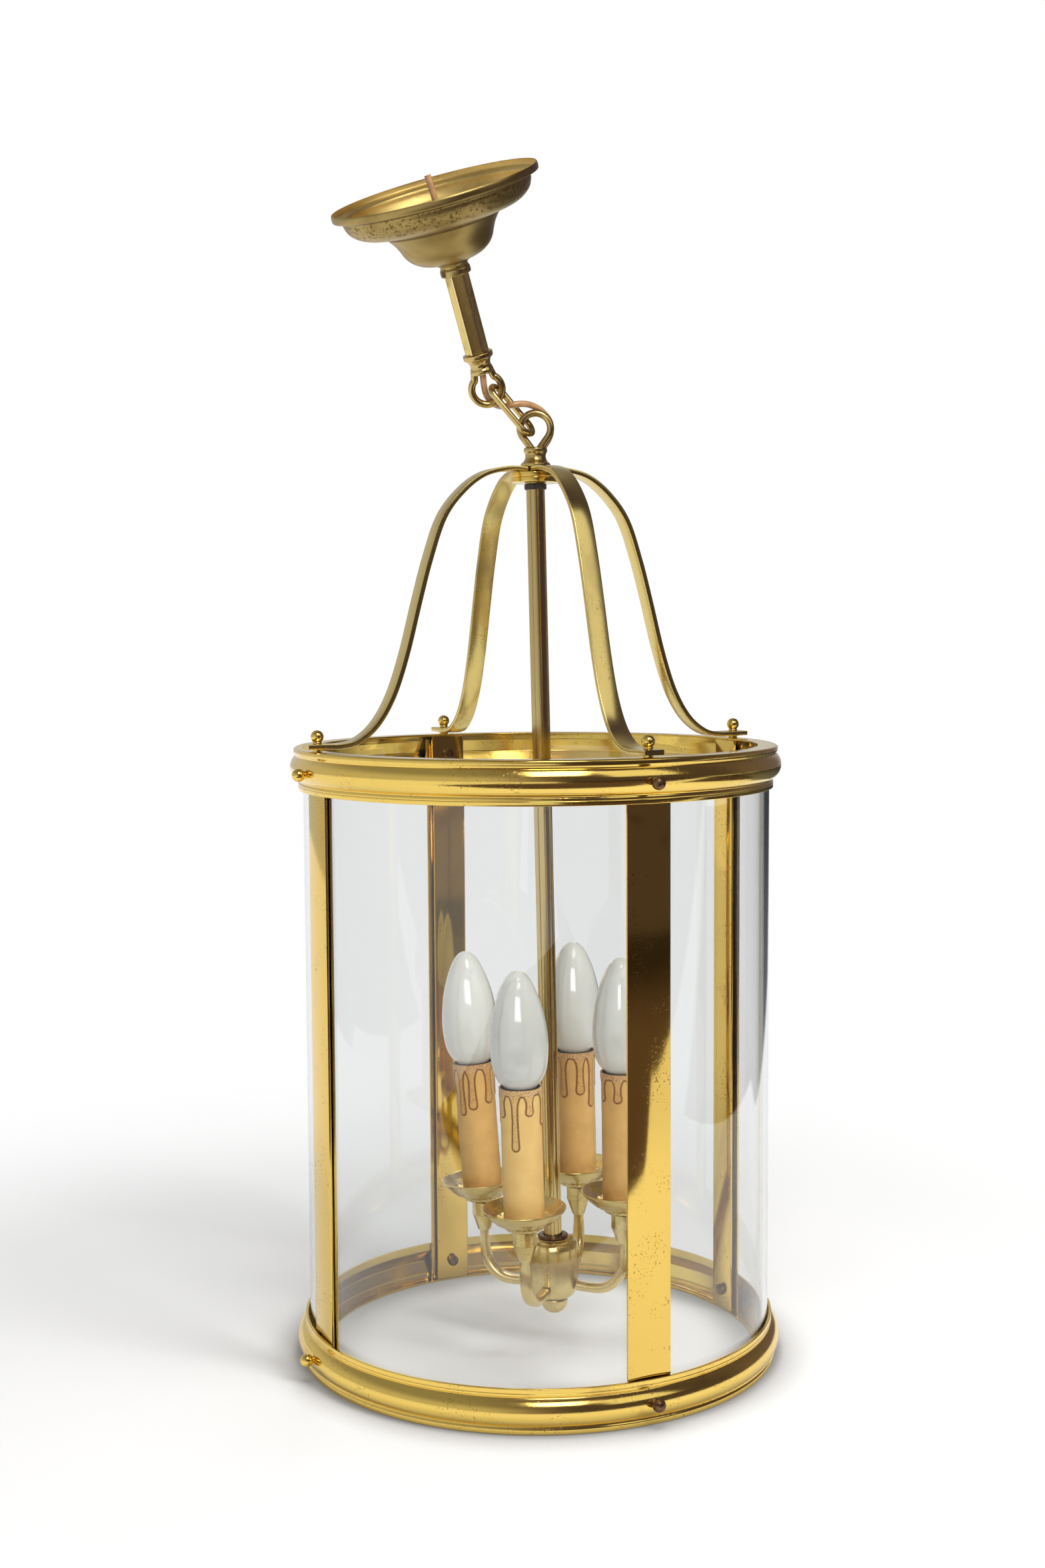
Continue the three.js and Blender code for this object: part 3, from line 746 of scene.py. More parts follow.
foot_screw = turned([
    (0, 388.7),
    *eased([(2.6, 388.7), (2.9, 389.0), (2.7, 389.9), (1.9, 390.2)], 0.25, closed=False),
    *arc(0, 393.0, 3.9, -48, 90, 16)[:-1], (0, 396.9),
], 28, polished, closed=False)
washer = turned([(2.2, 384.2), (2.9, 384.2), (2.9, 385.5), (2.2, 385.5)], 24, dark_steel)
work = bmesh.new()
work.from_mesh(foot_screw)
work.from_mesh(washer)
work.to_mesh(foot_screw)
work.free()
foot_screw.transform(moved(y=-CROWN_FOOT_RADIUS))
feet = set_out(foot_screw, polished)
stand("foot_ball_screws", feet, lantern_place, "lantern", "brass", *numbered("foot_screw"))


# %% [markdown]
# An upright is a sandwich. A wide strip outside and a narrower one inside clamp the edges of two
# panes between them, and the screws through the ring pull it all together and end in small dark
# heads inside the cage. The strips are sheared brass with edges that catch the light, so a real
# bevel is worth having.

# %% Uprights
def mesh_of(work, name):
    mesh = bpy.data.meshes.new(name)
    work.to_mesh(mesh)
    work.free()
    return mesh


def slab(width, face, thickness, low, high, bevel=0.25):
    """A flat strip whose outer side stands at the radius called face."""
    work = bmesh.new()
    bmesh.ops.create_cube(work, size=1)
    for vertex in work.verts:
        vertex.co = (
            vertex.co.x * width,
            -(face - thickness / 2) + vertex.co.y * thickness,
            (low + high) / 2 + vertex.co.z * (high - low),
        )
    bmesh.ops.bevel(work, geom=work.edges[:], offset=bevel, segments=2, profile=0.6, affect="EDGES")
    return mended(mesh_of(work, "slab"), 25)


SEAT = 1.5
STRIPS = {
    "outer": dict(width=28, face=145.5, thickness=1.6, low=SEAT, high=380.2),
    "inner": dict(width=22.5, face=139.8, thickness=1.5, low=SEAT, high=CAGE_HEIGHT - SEAT),
}
for i, azimuth in enumerate(UPRIGHTS, 1):
    for side, sizes in STRIPS.items():
        stand(f"{side}_strip_brass_{i}", slab(**sizes), bay(lantern_place, azimuth), "lantern",
              "brass", f"{side}_strip_{i}", material=strips_brass)

inner_screw = turned([
    (0, 135.2), *eased([(2.6, 135.2), (3.6, 135.9), (3.7, 138.2)], 0.4, closed=False), (0, 138.2),
], 20, dark_screw, closed=False)
inner_screw.transform(on_its_side)
for level, height in SCREW_LEVELS.items():
    ends = set_out(inner_screw.copy(), dark_screw)
    stand(f"{level}_screw_ends", ends, lantern_place @ moved(z=height), "lantern", "dark_steel")


# %% [markdown]
# Each pane is a quarter of a cylinder, bent in a kiln a little tighter than the rings, with its
# edges ground. A real thickness gives the darker line along every upright edge.

# %% Panes
def skinned(work, hoops, capped=True):
    """Faces from each hoop of points to the next and, where it is capped, over both ends."""
    for first, second in zip(hoops, hoops[1:]):
        count = len(first)
        for k in range(count):
            on = (k + 1) % count
            work.faces.new((first[k], first[on], second[on], second[k]))
    if capped:
        work.faces.new(hoops[0])
        work.faces.new(hoops[-1])


def pane(bend, offset, thickness, half, low, high, steps=44):
    """A pane bent to the radius called bend, about a centre that stands offset from the axis."""
    outer = arc(offset, 0, bend, -half, half, steps)
    inner = arc(offset, 0, bend - thickness, half, -half, steps)
    outline = [(y, -x) for x, y in outer + inner]
    work = bmesh.new()
    base, top = [[work.verts.new((x, y, height)) for x, y in outline] for height in (low, high)]
    skinned(work, [base, top], capped=False)
    for k in range(steps):
        far = len(outline) - 2 - k
        work.faces.new((base[k + 1], base[k], base[far + 1], base[far]))
        work.faces.new((top[k], top[k + 1], top[far], top[far + 1]))
    return mended(mesh_of(work, "pane"))


for i, azimuth in enumerate(UPRIGHTS, 1):
    mesh = pane(bend=137.8, offset=8.2, thickness=3.0, half=45.9, low=SEAT, high=CAGE_HEIGHT - SEAT)
    stand(f"pane_{i}", mesh, bay(lantern_place, azimuth + 45), "lantern", "clear_glass",
          f"glass_panel_{i}", material=glass)

# %% [markdown]
# The crown is four flat bars in a long S. They lie flat under the eye's mount, fall steeply, and
# sweep out again to feet on the upper ring. A bar is a rounded rectangle carried down its middle
# line, made once and set out four times. The same carrying serves the candle arms, whose section
# changes on the way.

# %% Crown arms
crown_line = flowing([
    (7.2, 554.6), (20, 554.6), (36, 550.6), (50.5, 540), (63, 524), (72.3, 499), (79.5, 474),
    (88.4, 441), (97.4, 416), (108, 399), (120, 389.6), (131, 387.1), (141, 387.1), (152, 387.1),
], 6)


def carried(line, section_at):
    """A section carried along a line in the plane of -Y and Z. It may change on the way."""
    work = bmesh.new()
    last = len(line) - 1
    hoops = []
    for k, (out, height) in enumerate(line):
        along = (Vector(line[min(k + 1, last)]) - Vector(line[max(k - 1, 0)])).normalized()
        hoops.append([
            work.verts.new((across, -(out - along.y * up), height + along.x * up))
            for across, up in section_at(k / last)
        ])
    skinned(work, hoops)
    return mesh_of(work, "carried")


def flat_bar(line, width, thickness, bevel):
    half, thin = width / 2, thickness / 2
    section = eased([(-half, -thin), (half, -thin), (half, thin), (-half, thin)], bevel, steps=2)
    return mended(carried(line, lambda share: section), 30)


crown = set_out(flat_bar(crown_line, width=12.2, thickness=3.0, bevel=0.45), patinated)
stand("crown_arms", crown, lantern_place, "lantern", "brass", *numbered("crown_arm"))

# %% [markdown]
# Under the arms sits a thick disc with a fine line cut round its edge, and under that a black nut
# that locks the centre tube. The tube carries the flex down to the candles.

# %% Hub, nut and tube
hub = turned(eased([
    (6.2, 546.5), (15.4, 546.5), (15.4, 549.4), (14.9, 549.75), (15.4, 550.1), (15.4, 552.7),
    (6.2, 552.7),
], 0.4), 72, polished)
stand("hub_plate", hub, lantern_place @ moved(x=TUBE_OFFSET), "lantern", "brass", "hub_disc")
nut = turned(eased([
    (6.1, 542.3), (6.5, 542.3), (6.9, 543), (6.9, 545.4), (6.5, 546.1), (6.1, 546.1),
], 0.2), 40, black_plastic)
stand("lock_nut", nut, cluster_place, "lantern", "black_plastic", "hub_nut")
tube = turned([(4.4, 66), (5.75, 66), (5.75, TUBE_TOP), (4.4, TUBE_TOP)], 40, tube_brass)
stand("hanging_tube", tube, cluster_place, "lantern", "brass", "centre_tube")

# %% [markdown]
# Each eye is a wire closed on a turned mount: a bead, a waist and a flange. The lantern's eye is
# pinched to a point at its foot, and the stem's eye is round.

# %% Eyes
EYE_RADIUS, EYE_WIRE = 9.4, 2.25


def mount_profile(bore, top, height):
    outline = [
        (bore, top), (6.6, top), (7.2, top - 0.6), (7.35, top - 1.6), (7.2, top - 2.7),
        (6.5, top - 3.8), (6.35, top - 5.2), (6.6, top - 6.9), (7.5, top - 8.6), (9.25, top - 10.0),
        (9.3, top - 10.6), (9.3, top - height), (bore, top - height),
    ]
    return eased(outline, 0.5)


def upright_arc(radius, start, end, steps):
    return [(x, 0, z) for x, z in arc(0, 0, radius, start, end, steps)]


foot_line = [(-3.9, 0, -10.6), (-1.2, 0, -14.2), (1.2, 0, -14.2), (3.9, 0, -10.6)]
eye_path = flowing([*upright_arc(EYE_RADIUS, -38, 218, 20), *foot_line], 4, closed=True)
eye = bent_wire(eye_path, EYE_WIRE, eye_brass, closed=True)
mount = turned(mount_profile(3.1, -11.8, 12), 64, eye_brass)
spigot = turned([(3.1, -26.6), (5.2, -26.6), (5.2, -23.8), (3.1, -23.8)], 32, eye_brass)
place = lantern_place @ moved(*LANTERN_EYE)
stand("lantern_eye_wire", eye, place, "lantern", "brass", "crown_ring")
stand("lantern_eye_mount", mount, place, "lantern", "brass")
stand("lantern_eye_spigot", spigot, place, "lantern", "brass")

round_path = flowing([
    (4.6, 0, 14), (5.0, 0, 12), *upright_arc(EYE_RADIUS, 50, -230, 40), (-5.0, 0, 12),
    (-4.6, 0, 14),
], 3)
eye = bent_wire(round_path, EYE_WIRE, eye_brass)
mount = turned([(r, -z) for r, z in mount_profile(2.7, -10.3, 12.9)], 64, eye_brass)
stand("stem_eye_wire", eye, hanger_place, "stem", "brass", "stem_ring")
stand("stem_eye_mount", mount, hanger_place, "stem", "brass")

# %% [markdown]
# One oval link of round wire joins the two eyes. It is measured between the places where it bears
# on them, and it is turned a little about its own length, as a link that lies over does. Its path
# is two half circles, and closing the curve draws the straight sides.

# %% Link
LINK_BOW, LINK_WIRE, LINK_TURN = 6.7, 2.0, 25
STEM_BEARING, LANTERN_BEARING = 3.7, 4
high = STEM_EYE + Vector((0.92, 0, 0.39)).normalized() * STEM_BEARING
low = LANTERN_EYE + Vector((-0.66, 0, -0.75)).normalized() * LANTERN_BEARING
along = (low - high).normalized()
across = Matrix.Rotation(turn(LINK_TURN), 3, along) @ Vector((0, 1, 0))
straight = (low - high).length / 2 - LINK_BOW
link_path = [
    tuple((low + high) / 2 + along * x + across * y)
    for x, y in arc(straight, 0, LINK_BOW, -90, 90, 24) + arc(-straight, 0, LINK_BOW, 90, 270, 24)
]
link = bent_wire(link_path, LINK_WIRE, eye_brass, closed=True)
stand("link_wire", link, lantern_place, "link", "brass", "chain_link")

# %% [markdown]
# The stem is a drawn tube with six shallow flutes between narrow ridges. Its section is the same
# all the way up, so it is one outline pushed along a line. An attribute marks the ridges, which
# the finish paints bright as a highlight, with a line of painted shade along each edge of the
# flutes.

# %% Fluted stem
FLUTES, FLUTE_STEPS = 6, 12
RIDGE_RADIUS, FLUTE_DEPTH, HALF_RIDGE = 7.4, 0.95, 3.5
PITCH = 360 / FLUTES

section, on_ridge = [], []
for side in range(FLUTES):
    for step in range(FLUTE_STEPS + 1):
        share = step / FLUTE_STEPS
        radius = RIDGE_RADIUS - FLUTE_DEPTH * math.sin(math.pi * share) ** 0.8
        heading = (side - 1) * PITCH + HALF_RIDGE + share * (PITCH - 2 * HALF_RIDGE)
        section.append(polar(radius, heading))
        on_ridge.append(1 if step in (0, FLUTE_STEPS) else 0)


def extruded(outline, low, high, ridges=()):
    """A straight solid. ridges has 1 for each point that lies on a ridge, and 0 for others."""
    work = bmesh.new()
    layer = work.verts.layers.float.new("ridge")
    hoops = [[work.verts.new((x, y, height)) for x, y in outline] for height in (low, high)]
    for hoop in hoops:
        for vertex, ridge in zip(hoop, ridges):
            vertex[layer] = ridge
    skinned(work, hoops)
    return mended(mesh_of(work, "extrusion"), 22)


def stem_finish():
    finish = Finish("fluted_stem_brass")
    ridge = finish.attribute("ridge")
    blotches = finish.noise(55, 3, 0.5, warp=0.4).ramp(0.46, 0.66)
    fine = finish.noise(500, 3, 0.6)
    colour = finish.mix(blotches * 0.7, (0.78, 0.59, 0.20), (0.38, 0.26, 0.09))
    # Painted shade: a dark line along each edge of the flutes, next to the ridges.
    painted_flute_shade = 1 - (ridge - 0.45).size().ramp(0.1, 0.42)
    colour = finish.mix(painted_flute_shade * 0.55, colour, (0.18, 0.11, 0.04))
    # Painted highlight: the ridges are lifted to a pale brass.
    colour = finish.mix(ridge.ramp(0.82, 0.98) * 0.9, colour, (0.86, 0.70, 0.34))
    finish.bump(fine * 0.3 + blotches, 0.015)
    return finish.surface(
        Base_Color=colour, Metallic=1, Roughness=blotches * 0.14 + fine * 0.06 + 0.2
    )


stem = extruded(section, 23.5, 90, on_ridge)
stand("fluted_stem", stem, hanger_place, "stem", "aged_brass", "stem_tube", material=stem_finish())

# %% [markdown]
# A turned collar slides on the stem and carries the canopy. A grub screw in its side locks it.

# %% Collar and grub screw
collar = turned(eased([
    (7.8, 72.2), (9.2, 72.2), (9.4, 73), (9.4, 75.6), (9.1, 76.3), (8.6, 77.1), (8.6, 78.2),
    (9.2, 78.9), (9.9, 79.1), (9.9, 79.7), (7.8, 79.7),
], 0.4), 64, tarnished)
stand("stem_collar", collar, hanger_place, "canopy_unit", "aged_brass", "canopy_collar")
screw = turned([
    (0, 8.3), (0.75, 8.3), (0.75, 9.35), *arc(1.15, 9.35, 0.4, 180, 0, 6)[1:],
    (1.55, 8.3), (1.55, 8), (0, 8),
], 24, dark_steel, closed=False)
screw.transform(moved(z=74.4) @ rotated(-53, "Z") @ on_its_side)
stand("grub_screw", screw, hanger_place, "canopy_unit", "dark_steel", "collar_set_screw")

# %% [markdown]
# The canopy was spun from thin sheet over a former: a rolled rim, an ovolo, a step and an ogee to
# the throat. The outside and the inside are drawn as one closed profile with the sheet's thickness
# between them, and the inside has its own cleaner brass.

# %% Canopy
RIM_LEVEL = 124.5
canopy_outside = flowing([
    (63.2, 0.2), (63.6, 1.2), (63.6, 3.7), (62.9, 4.7), (60.4, 5.1), (58.4, 6.0), (57.8, 9),
    (55.8, 13.4), (51.6, 17.0), (46.5, 19.2), (40.5, 20.4), (36.8, 21.0), (35.4, 21.8),
    (33.4, 24.2), (31.2, 27.2), (29.2, 31), (27.3, 35.2), (24.4, 38.9), (19.6, 42.1), (13.4, 44.1),
    (8.6, 44.5),
], 5)
canopy_inside = flowing([
    (8.6, 43.4), (13.1, 43), (19, 41.1), (23.6, 38.1), (26.4, 34.6), (28.2, 30.6), (30.2, 26.6),
    (32.6, 23.3), (34.6, 20.9), (36.6, 19.9), (40.3, 19.3), (46.1, 18.1), (50.9, 16.0),
    (54.8, 12.8), (56.7, 8.8), (57.3, 5.6), (59.6, 4.1), (61.9, 3.6), (62.5, 1.6), (62.6, 0.3),
], 5)
canopy_profile = [(r, RIM_LEVEL - depth) for r, depth in canopy_outside + canopy_inside]
canopy = turned(canopy_profile, 144, spun_brass)
canopy.materials.append(dish_brass)
for face in canopy.polygons:
    outwards = face.center.x * face.normal.x + face.center.y * face.normal.y
    face.material_index = 1 if outwards < 0 and face.normal.z > -0.2 else 0
stand("spun_canopy", canopy, hanger_place, "canopy_unit", "aged_brass", "canopy")

# %% [markdown]
# The photograph hides how the lantern hangs. A wire loop on a hexagon nut above the stem is what
# such a lantern has.

# %% Hanging loop
loop_path = flowing([(4.1, 0, -9.5), *upright_arc(6.8, -50, 230, 28), (-4.1, 0, -9.5)], 3)
loop = bent_wire(loop_path, 1.7, tarnished, sides=16)
stand("hook_loop", loop, hanger_place @ moved(z=104), "stem", "aged_brass", "hanging_loop")
hexagon = [polar(8, 60 * k) for k in range(6)]
loop_nut = extruded(eased(hexagon, 0.6), 90.3, 95.3)
stand("loop_nut", loop_nut, hanger_place, "stem", "aged_brass", material=tarnished)

# %% [markdown]
# The candle cluster was cast in small pieces. A pot on the foot of the tube holds four scrolled
# arms, and a dark button closes it below.

# %% Pot and button
pot = turned(eased([
    (5.2, 31), (10.6, 30.7), (13.2, 32.6), (14.9, 36.4), (15.9, 42), (16.3, 50), (16.3, 58),
    (16.0, 63.5), (15.0, 66.8), (12.4, 68.0), (10.4, 68.3), (9.9, 69.0), (6.2, 69.0), (6.2, 62),
    (5.2, 60),
], 1.0), 72, cast_brass)
stand("cast_pot", pot, cluster_place, "lantern", "brass", "cluster_body")
pot_nut = turned(eased([
    (6.2, 69.1), (9.6, 69.1), (9.8, 70.3), (9.2, 71), (6.2, 71),
], 0.3), 48, dark_screw)
stand("pot_nut", pot_nut, cluster_place, "lantern", "dark_steel")
button = turned([
    (0, 19.6),
    *flowing([(0.4, 19.6), (3.4, 20.2), (6.2, 22), (8, 24.8), (8.6, 28.2), (8.4, 29.5)], 5),
    (4.8, 29.6), (4.8, 40), (0, 40),
], 48, cast_brass, closed=False)
stand("button_finial", button, cluster_place, "lantern", "brass", "cluster_finial")

# %% [markdown]
# An arm was cast in sand and filed by hand, so its section is neither round nor square. It is a
# squarish oval that grows and shrinks along the arm's middle line.

# %% Scrolled arm
scroll_line = flowing([
    (16.3, 38.8), (24, 38.2), (33.5, 39.0), (41, 43.2), (45.8, 50.6), (47.4, 60), (47.6, 66),
    (47.6, 72),
], 8)


def scroll_section(share, width=8.0, thickness=6.4, sides=16):
    """A squarish oval, thick at the pot and again halfway, and thinnest under the cup."""
    belly = 0.22 * math.sin(math.pi * min(share * 1.15, 1))
    root = 0.18 * max(0, 0.12 - share) / 0.12
    fat = 0.78 + belly + root
    points = []
    for step in range(sides):
        x, up = polar(1, 360 * step / sides)
        points.append((
            math.copysign(abs(x) ** 0.6, x) * width / 2 * fat,
            math.copysign(abs(up) ** 0.75, up) * thickness / 2 * fat,
        ))
    return points


arm = mended(carried(scroll_line, scroll_section), 50)
print("the arm has", len(arm.polygons), "faces along", len(scroll_line), "points")

# %% [markdown]
# Each arm ends in a cup with eight flats. A cone of eight sides with a small bevel on every edge
# keeps the crisp look of a casting that was filed flat by flat.

# %% Faceted cup and the four places
ARM_REACH, CUP_TOP, FIRST_ARM = 47.6, 88, -21.5
LIFTS, LEANS = (-1.6, 0.2, 1.2, 0.4), (0.8, 0.6, 0, 3.1)


def faceted(levels, sides, phase):
    """A solid with flat sides, from (radius, height) levels."""
    work = bmesh.new()
    skinned(work, [
        [work.verts.new((*polar(radius, phase + 360 * k / sides), height)) for k in range(sides)]
        for radius, height in levels
    ])
    bmesh.ops.bevel(work, geom=work.edges[:], offset=0.22, segments=2, profile=0.6, affect="EDGES")
    return mended(mesh_of(work, "faceted"), 24)


cup = faceted(
    [(4.0, 69.4), (7.2, 78.8), (7.6, 79.6), (7.4, 82), (7.4, CUP_TOP)], sides=8, phase=22.5
)
cup.transform(moved(y=-ARM_REACH))
for mesh in (arm, cup):
    mesh.materials.append(cast_brass)

arm_places = [
    bay(cluster_place, FIRST_ARM + 90 * i) @ moved(z=lift) for i, lift in enumerate(LIFTS)
]
for i, place in enumerate(arm_places, 1):
    stand(f"scroll_arm_{i}", arm.copy(), place, "lantern", "brass", f"candle_arm_{i}")
    stand(f"faceted_cup_{i}", cup.copy(), place, "lantern", "brass")

# %% [markdown]
# A candle is a spun drip pan, a card sleeve dipped in wax-coloured paint, a dark lampholder inside
# it and an opal bulb. The pan is turned, and a ring of small leaves is pressed into the foot of it,
# so its points are moved out and in by a sine round the axis.

# %% Drip pan
LEAVES, LEAF_FOOT, LEAF_TIP, LEAF_SWELL = 18, 8.7, 19, 0.5
pan = turned(eased([
    (5.4, 0.8), (8.6, 0.8), (11.0, 2.0), (12.0, 3.6), (13.6, 4.6), (17.4, 6.4), (22.0, 9.8),
    (25.4, 13.4), (26.2, 14.9), (25.9, 15.5), (25.2, 15.2), (21.6, 11.6), (17.6, 8.9), (15.2, 8.3),
    (5.4, 8.3),
], 0.6), 144, cast_brass)
for vertex in pan.vertices:
    x, y, height = vertex.co
    radius = math.hypot(x, y)
    if LEAF_FOOT < radius < LEAF_TIP and height < radius * 0.55:
        leaf = abs(math.sin(math.atan2(y, x) * LEAVES / 2)) ** 0.6
        fade = min(1, (radius - LEAF_FOOT) / 1.5) * min(1, (LEAF_TIP - radius) / 2)
        swell = LEAF_SWELL * leaf * fade
        vertex.co = (x * (1 + swell / radius), y * (1 + swell / radius), height - swell * 0.5)
print("the pan has", len(pan.vertices), "points")

# %% [markdown]
# The drips are a raised layer on the sleeve: a band at the top with rounded tongues of many
# lengths, each sleeve with its own. Noise with a fixed seed picks them, so that every run gives the
# same.

# %% Where the wax runs
SLEEVE_BASE, SLEEVE_TOP = 9.0, 91.0


def drips(seed):
    """Middle angle, half width and length of every wax tongue of one sleeve."""
    tongues = []
    first = heading = seed * 37.0
    while heading < first + 335:
        places = [Vector((seed * 7.3, len(tongues) * 3.1, n * 5.7)) for n in range(3)]
        pick = [noise.noise(place) * 0.9 + 0.5 for place in places]
        half = 10.5 + 4.5 * pick[0]
        tongues.append((heading + half, half, 11 + 25 * min(max(pick[1], 0), 1)))
        heading += 2 * half + 9 + 22 * min(max(pick[2], 0), 1)
    return tongues


print("tongues of wax on the sleeves:", [len(drips(seed)) for seed in range(1, 5)])

# %% [markdown]
# The sleeve is a thin tube whose outer wall is a fine grid, so that the wax can be raised from it.
# How deep a point lies inside the wax is stored on the mesh as an attribute for the material.

# %% Card sleeve with wax
CARD_INSIDE, CARD_OUTSIDE, WAX_RADIUS = 12.1, 12.62, 12.8
MM_PER_DEGREE = turn(WAX_RADIUS)


def wax_depth(heading, below, tongues, seed):
    """How many millimetres a point lies inside the outline of the wax, and negative outside."""
    depth = 3.6 + 1.2 * noise.noise(Vector((heading / 24, seed, 0))) - below
    for middle, half, length in tongues:
        gap = abs((heading - middle + 180) % 360 - 180) * MM_PER_DEGREE
        drop = half * MM_PER_DEGREE
        if below < length:
            neck = drop * (1.0 - 0.26 * math.sin(math.pi * below / length))
            edge = neck + 4.2 * max(0, 1 - below / 11) ** 2.4 - gap
        else:
            edge = drop - math.hypot(gap, below - length)
        depth = max(depth, min(edge, 2.5))
    return depth


def wax_sleeve(seed, around=144, up=150):
    tongues = drips(seed)
    work = bmesh.new()
    depth_layer = work.verts.layers.float.new("wax_depth")
    below_layer = work.verts.layers.float.new("below_top")
    headings = [360 * i / around for i in range(around)]
    hoops = []
    for j in range(up + 1):
        height = SLEEVE_BASE + (SLEEVE_TOP - SLEEVE_BASE) * j / up
        below = SLEEVE_TOP - height
        hoop = []
        for heading in headings:
            depth = wax_depth(heading, below, tongues, seed)
            wax = min(max(depth / 0.8, 0), 1)
            wax = wax * wax * (3 - 2 * wax)
            wobble = 0.12 * noise.noise(Vector((heading / 9, height / 6, seed)))
            radius = CARD_OUTSIDE + 0.25 * max(0, 1 - below / 22) + wax * (0.42 + wobble)
            vertex = work.verts.new((*polar(radius, heading), height))
            vertex[depth_layer] = depth
            vertex[below_layer] = below
            hoop.append(vertex)
        hoops.append(hoop)
    for height in (SLEEVE_TOP, SLEEVE_BASE):
        hoops.append([
            work.verts.new((*polar(CARD_INSIDE, heading), height)) for heading in headings
        ])
    skinned(work, [*hoops, hoops[0]], capped=False)
    mesh = mesh_of(work, "sleeve")
    mesh.shade_smooth()
    mesh.set_sharp_from_angle(angle=turn(60))
    return mesh


print("a sleeve is", SLEEVE_TOP - SLEEVE_BASE, "mm long")


# %% [markdown]
# The material darkens the outline of the wax with the stored depth, as dust gathers there, and
# crackles the wax itself. The front sleeve gets a paler copy of the finish, as painted light, and
# the other three a darker copy, as painted shade.

# %% Wax finish
def wax_finish(name, card_colour, card_shade):
    finish = Finish(name)
    depth = finish.attribute("wax_depth")
    below = finish.attribute("below_top")
    mottle = finish.noise(90, 4, 0.6)
    fine = finish.noise(900, 2, 0.5)
    card = finish.mix(mottle.ramp(0.3, 0.75), card_colour, card_shade)
    wax = finish.mix(fine.ramp(0.35, 0.7), card_shade, card_colour)
    crackle = finish.node(
        "ShaderNodeTexVoronoi", {"feature": "DISTANCE_TO_EDGE"}, Vector=finish.coords, Scale=780
    ).ramp(0.02, 0.14)
    inside = depth.ramp(0.3, 0.9)
    outline = 1 - (depth - 0.15 + (mottle - 0.5) * 0.4).size().ramp(0.3, 0.85)
    crown = 1 - below.ramp(2.0, 6.5)
    colour = finish.mix(depth.ramp(-0.1, 0.4), card, wax)
    colour = finish.mix(crown * 0.35, colour, (0.86, 0.60, 0.42))
    colour = finish.mix(inside * (1 - crackle) * (crown * 0.3 + 0.45), colour, (0.30, 0.11, 0.04))
    # Browner in patches towards the foot of the sleeve.
    browner_foot = below.ramp(70, 82) * mottle.ramp(0.3, 0.7) * 0.55
    colour = finish.mix(browner_foot, colour, (0.45, 0.17, 0.06))
    colour = finish.mix(outline * 0.88, colour, (0.22, 0.065, 0.02))
    finish.bump(fine * 0.2 + mottle * 0.4 + inside * crackle * 0.5, 0.25, 0.0004)
    return finish.surface(Base_Color=colour, Roughness=mottle * 0.15 + 0.42)


# The front sleeve's copy is paler, as painted light, and the other three share a darker copy, as
# painted shade.
painted_lit_wax = wax_finish("fresh_wax_sleeve", (0.99, 0.68, 0.25), (0.94, 0.60, 0.21))
painted_shaded_wax = wax_finish("aged_wax_sleeve", (0.80, 0.49, 0.17), (0.70, 0.42, 0.14))
print("two finishes for wax:", painted_lit_wax.name, "and", painted_shaded_wax.name)

# %% [markdown]
# Inside each sleeve a dark moulded holder grips the bulb's cap. The bulb is blown opal glass, and
# only its flame shape shows above the sleeve. Each bulb rides on its own body, because it can be
# taken out.

# %% Holder and bulb
BULB_HEIGHT = 71.9
holder = turned([
    (0, -4), (4.9, -4), (4.9, 49.5), (11.5, 54.5), (11.8, 57), (11.8, 91.0), (11.55, 91.5),
    (11.2, 91.2), (7.6, 79.1), (7.6, 56.5), (0, 56.5),
], 56, black_plastic, closed=False)
flame = flowing([
    (10.3, 0), (14.4, 5.2), (16.8, 11.8), (17.9, 21.6), (17.7, 31), (16.1, 43), (13.2, 54),
    (10.1, 62), (7.3, 67.1), (4.6, 70.2), (2.2, 71.6), (0.01, BULB_HEIGHT),
], 6)[:-1]
bulb_profile = [
    (0, -34), (5.8, -31.2), (6.5, -29), (6.7, -26), (6.7, -11.8), *flame, (0, BULB_HEIGHT),
]
bulb = turned([(r, SLEEVE_TOP + z) for r, z in bulb_profile], 64, opal, closed=False)
print("the bulb shows", BULB_HEIGHT, "mm above its sleeve")

# %% [markdown]
# All four candles are alike, but none stands quite straight. Each is set on its arm with the lean
# and the height that the photograph shows.

# %% Setting the candles
for i, (arm_place, lean) in enumerate(zip(arm_places, LEANS), 1):
    place = arm_place @ moved(y=-ARM_REACH, z=CUP_TOP) @ rotated(lean, "X")
    stand(f"wax_pan_{i}", pan.copy(), place, "lantern", "brass", f"drip_pan_{i}")
    stand(f"dipped_sleeve_{i}", wax_sleeve(i), place, "lantern", "wax_sleeve",
          f"candle_sleeve_{i}", material=painted_lit_wax if i == 1 else painted_shaded_wax)
    stand(f"holder_{i}", holder.copy(), place, "lantern", "black_plastic", f"lampholder_{i}")
    stand(f"candle_bulb_{i}", bulb.copy(), place, f"bulb_{i}", "opal_glass", f"bulb_{i}")


# %% [markdown]
# The studio is a white table in a white room, with a large soft lamp overhead, a window on the
# right, a weak fill from the front and a lamp behind. None of it belongs to the lantern.

# %% Stage pieces
def stage_piece(name, work, material, reflected_only=False):
    mesh = mesh_of(work, name)
    mesh.materials.append(material)
    thing = scene_object(name, mesh)
    if reflected_only:
        thing.visible_camera = False
        thing.visible_diffuse = False
        thing.visible_shadow = False
    print(name, "on the stage")


# %% [markdown]
# The table is a white disc. A glow that the camera, the glass and the metal can see, and that
# lights nothing, lifts it to white far from the lantern and leaves it plain near by, where the
# shadows are. Right at the foot of the ring, where little of the room is open to the table, a
# painted contact shadow turns the table's colour grey and gives the narrow dark edge that the
# lantern stands on.

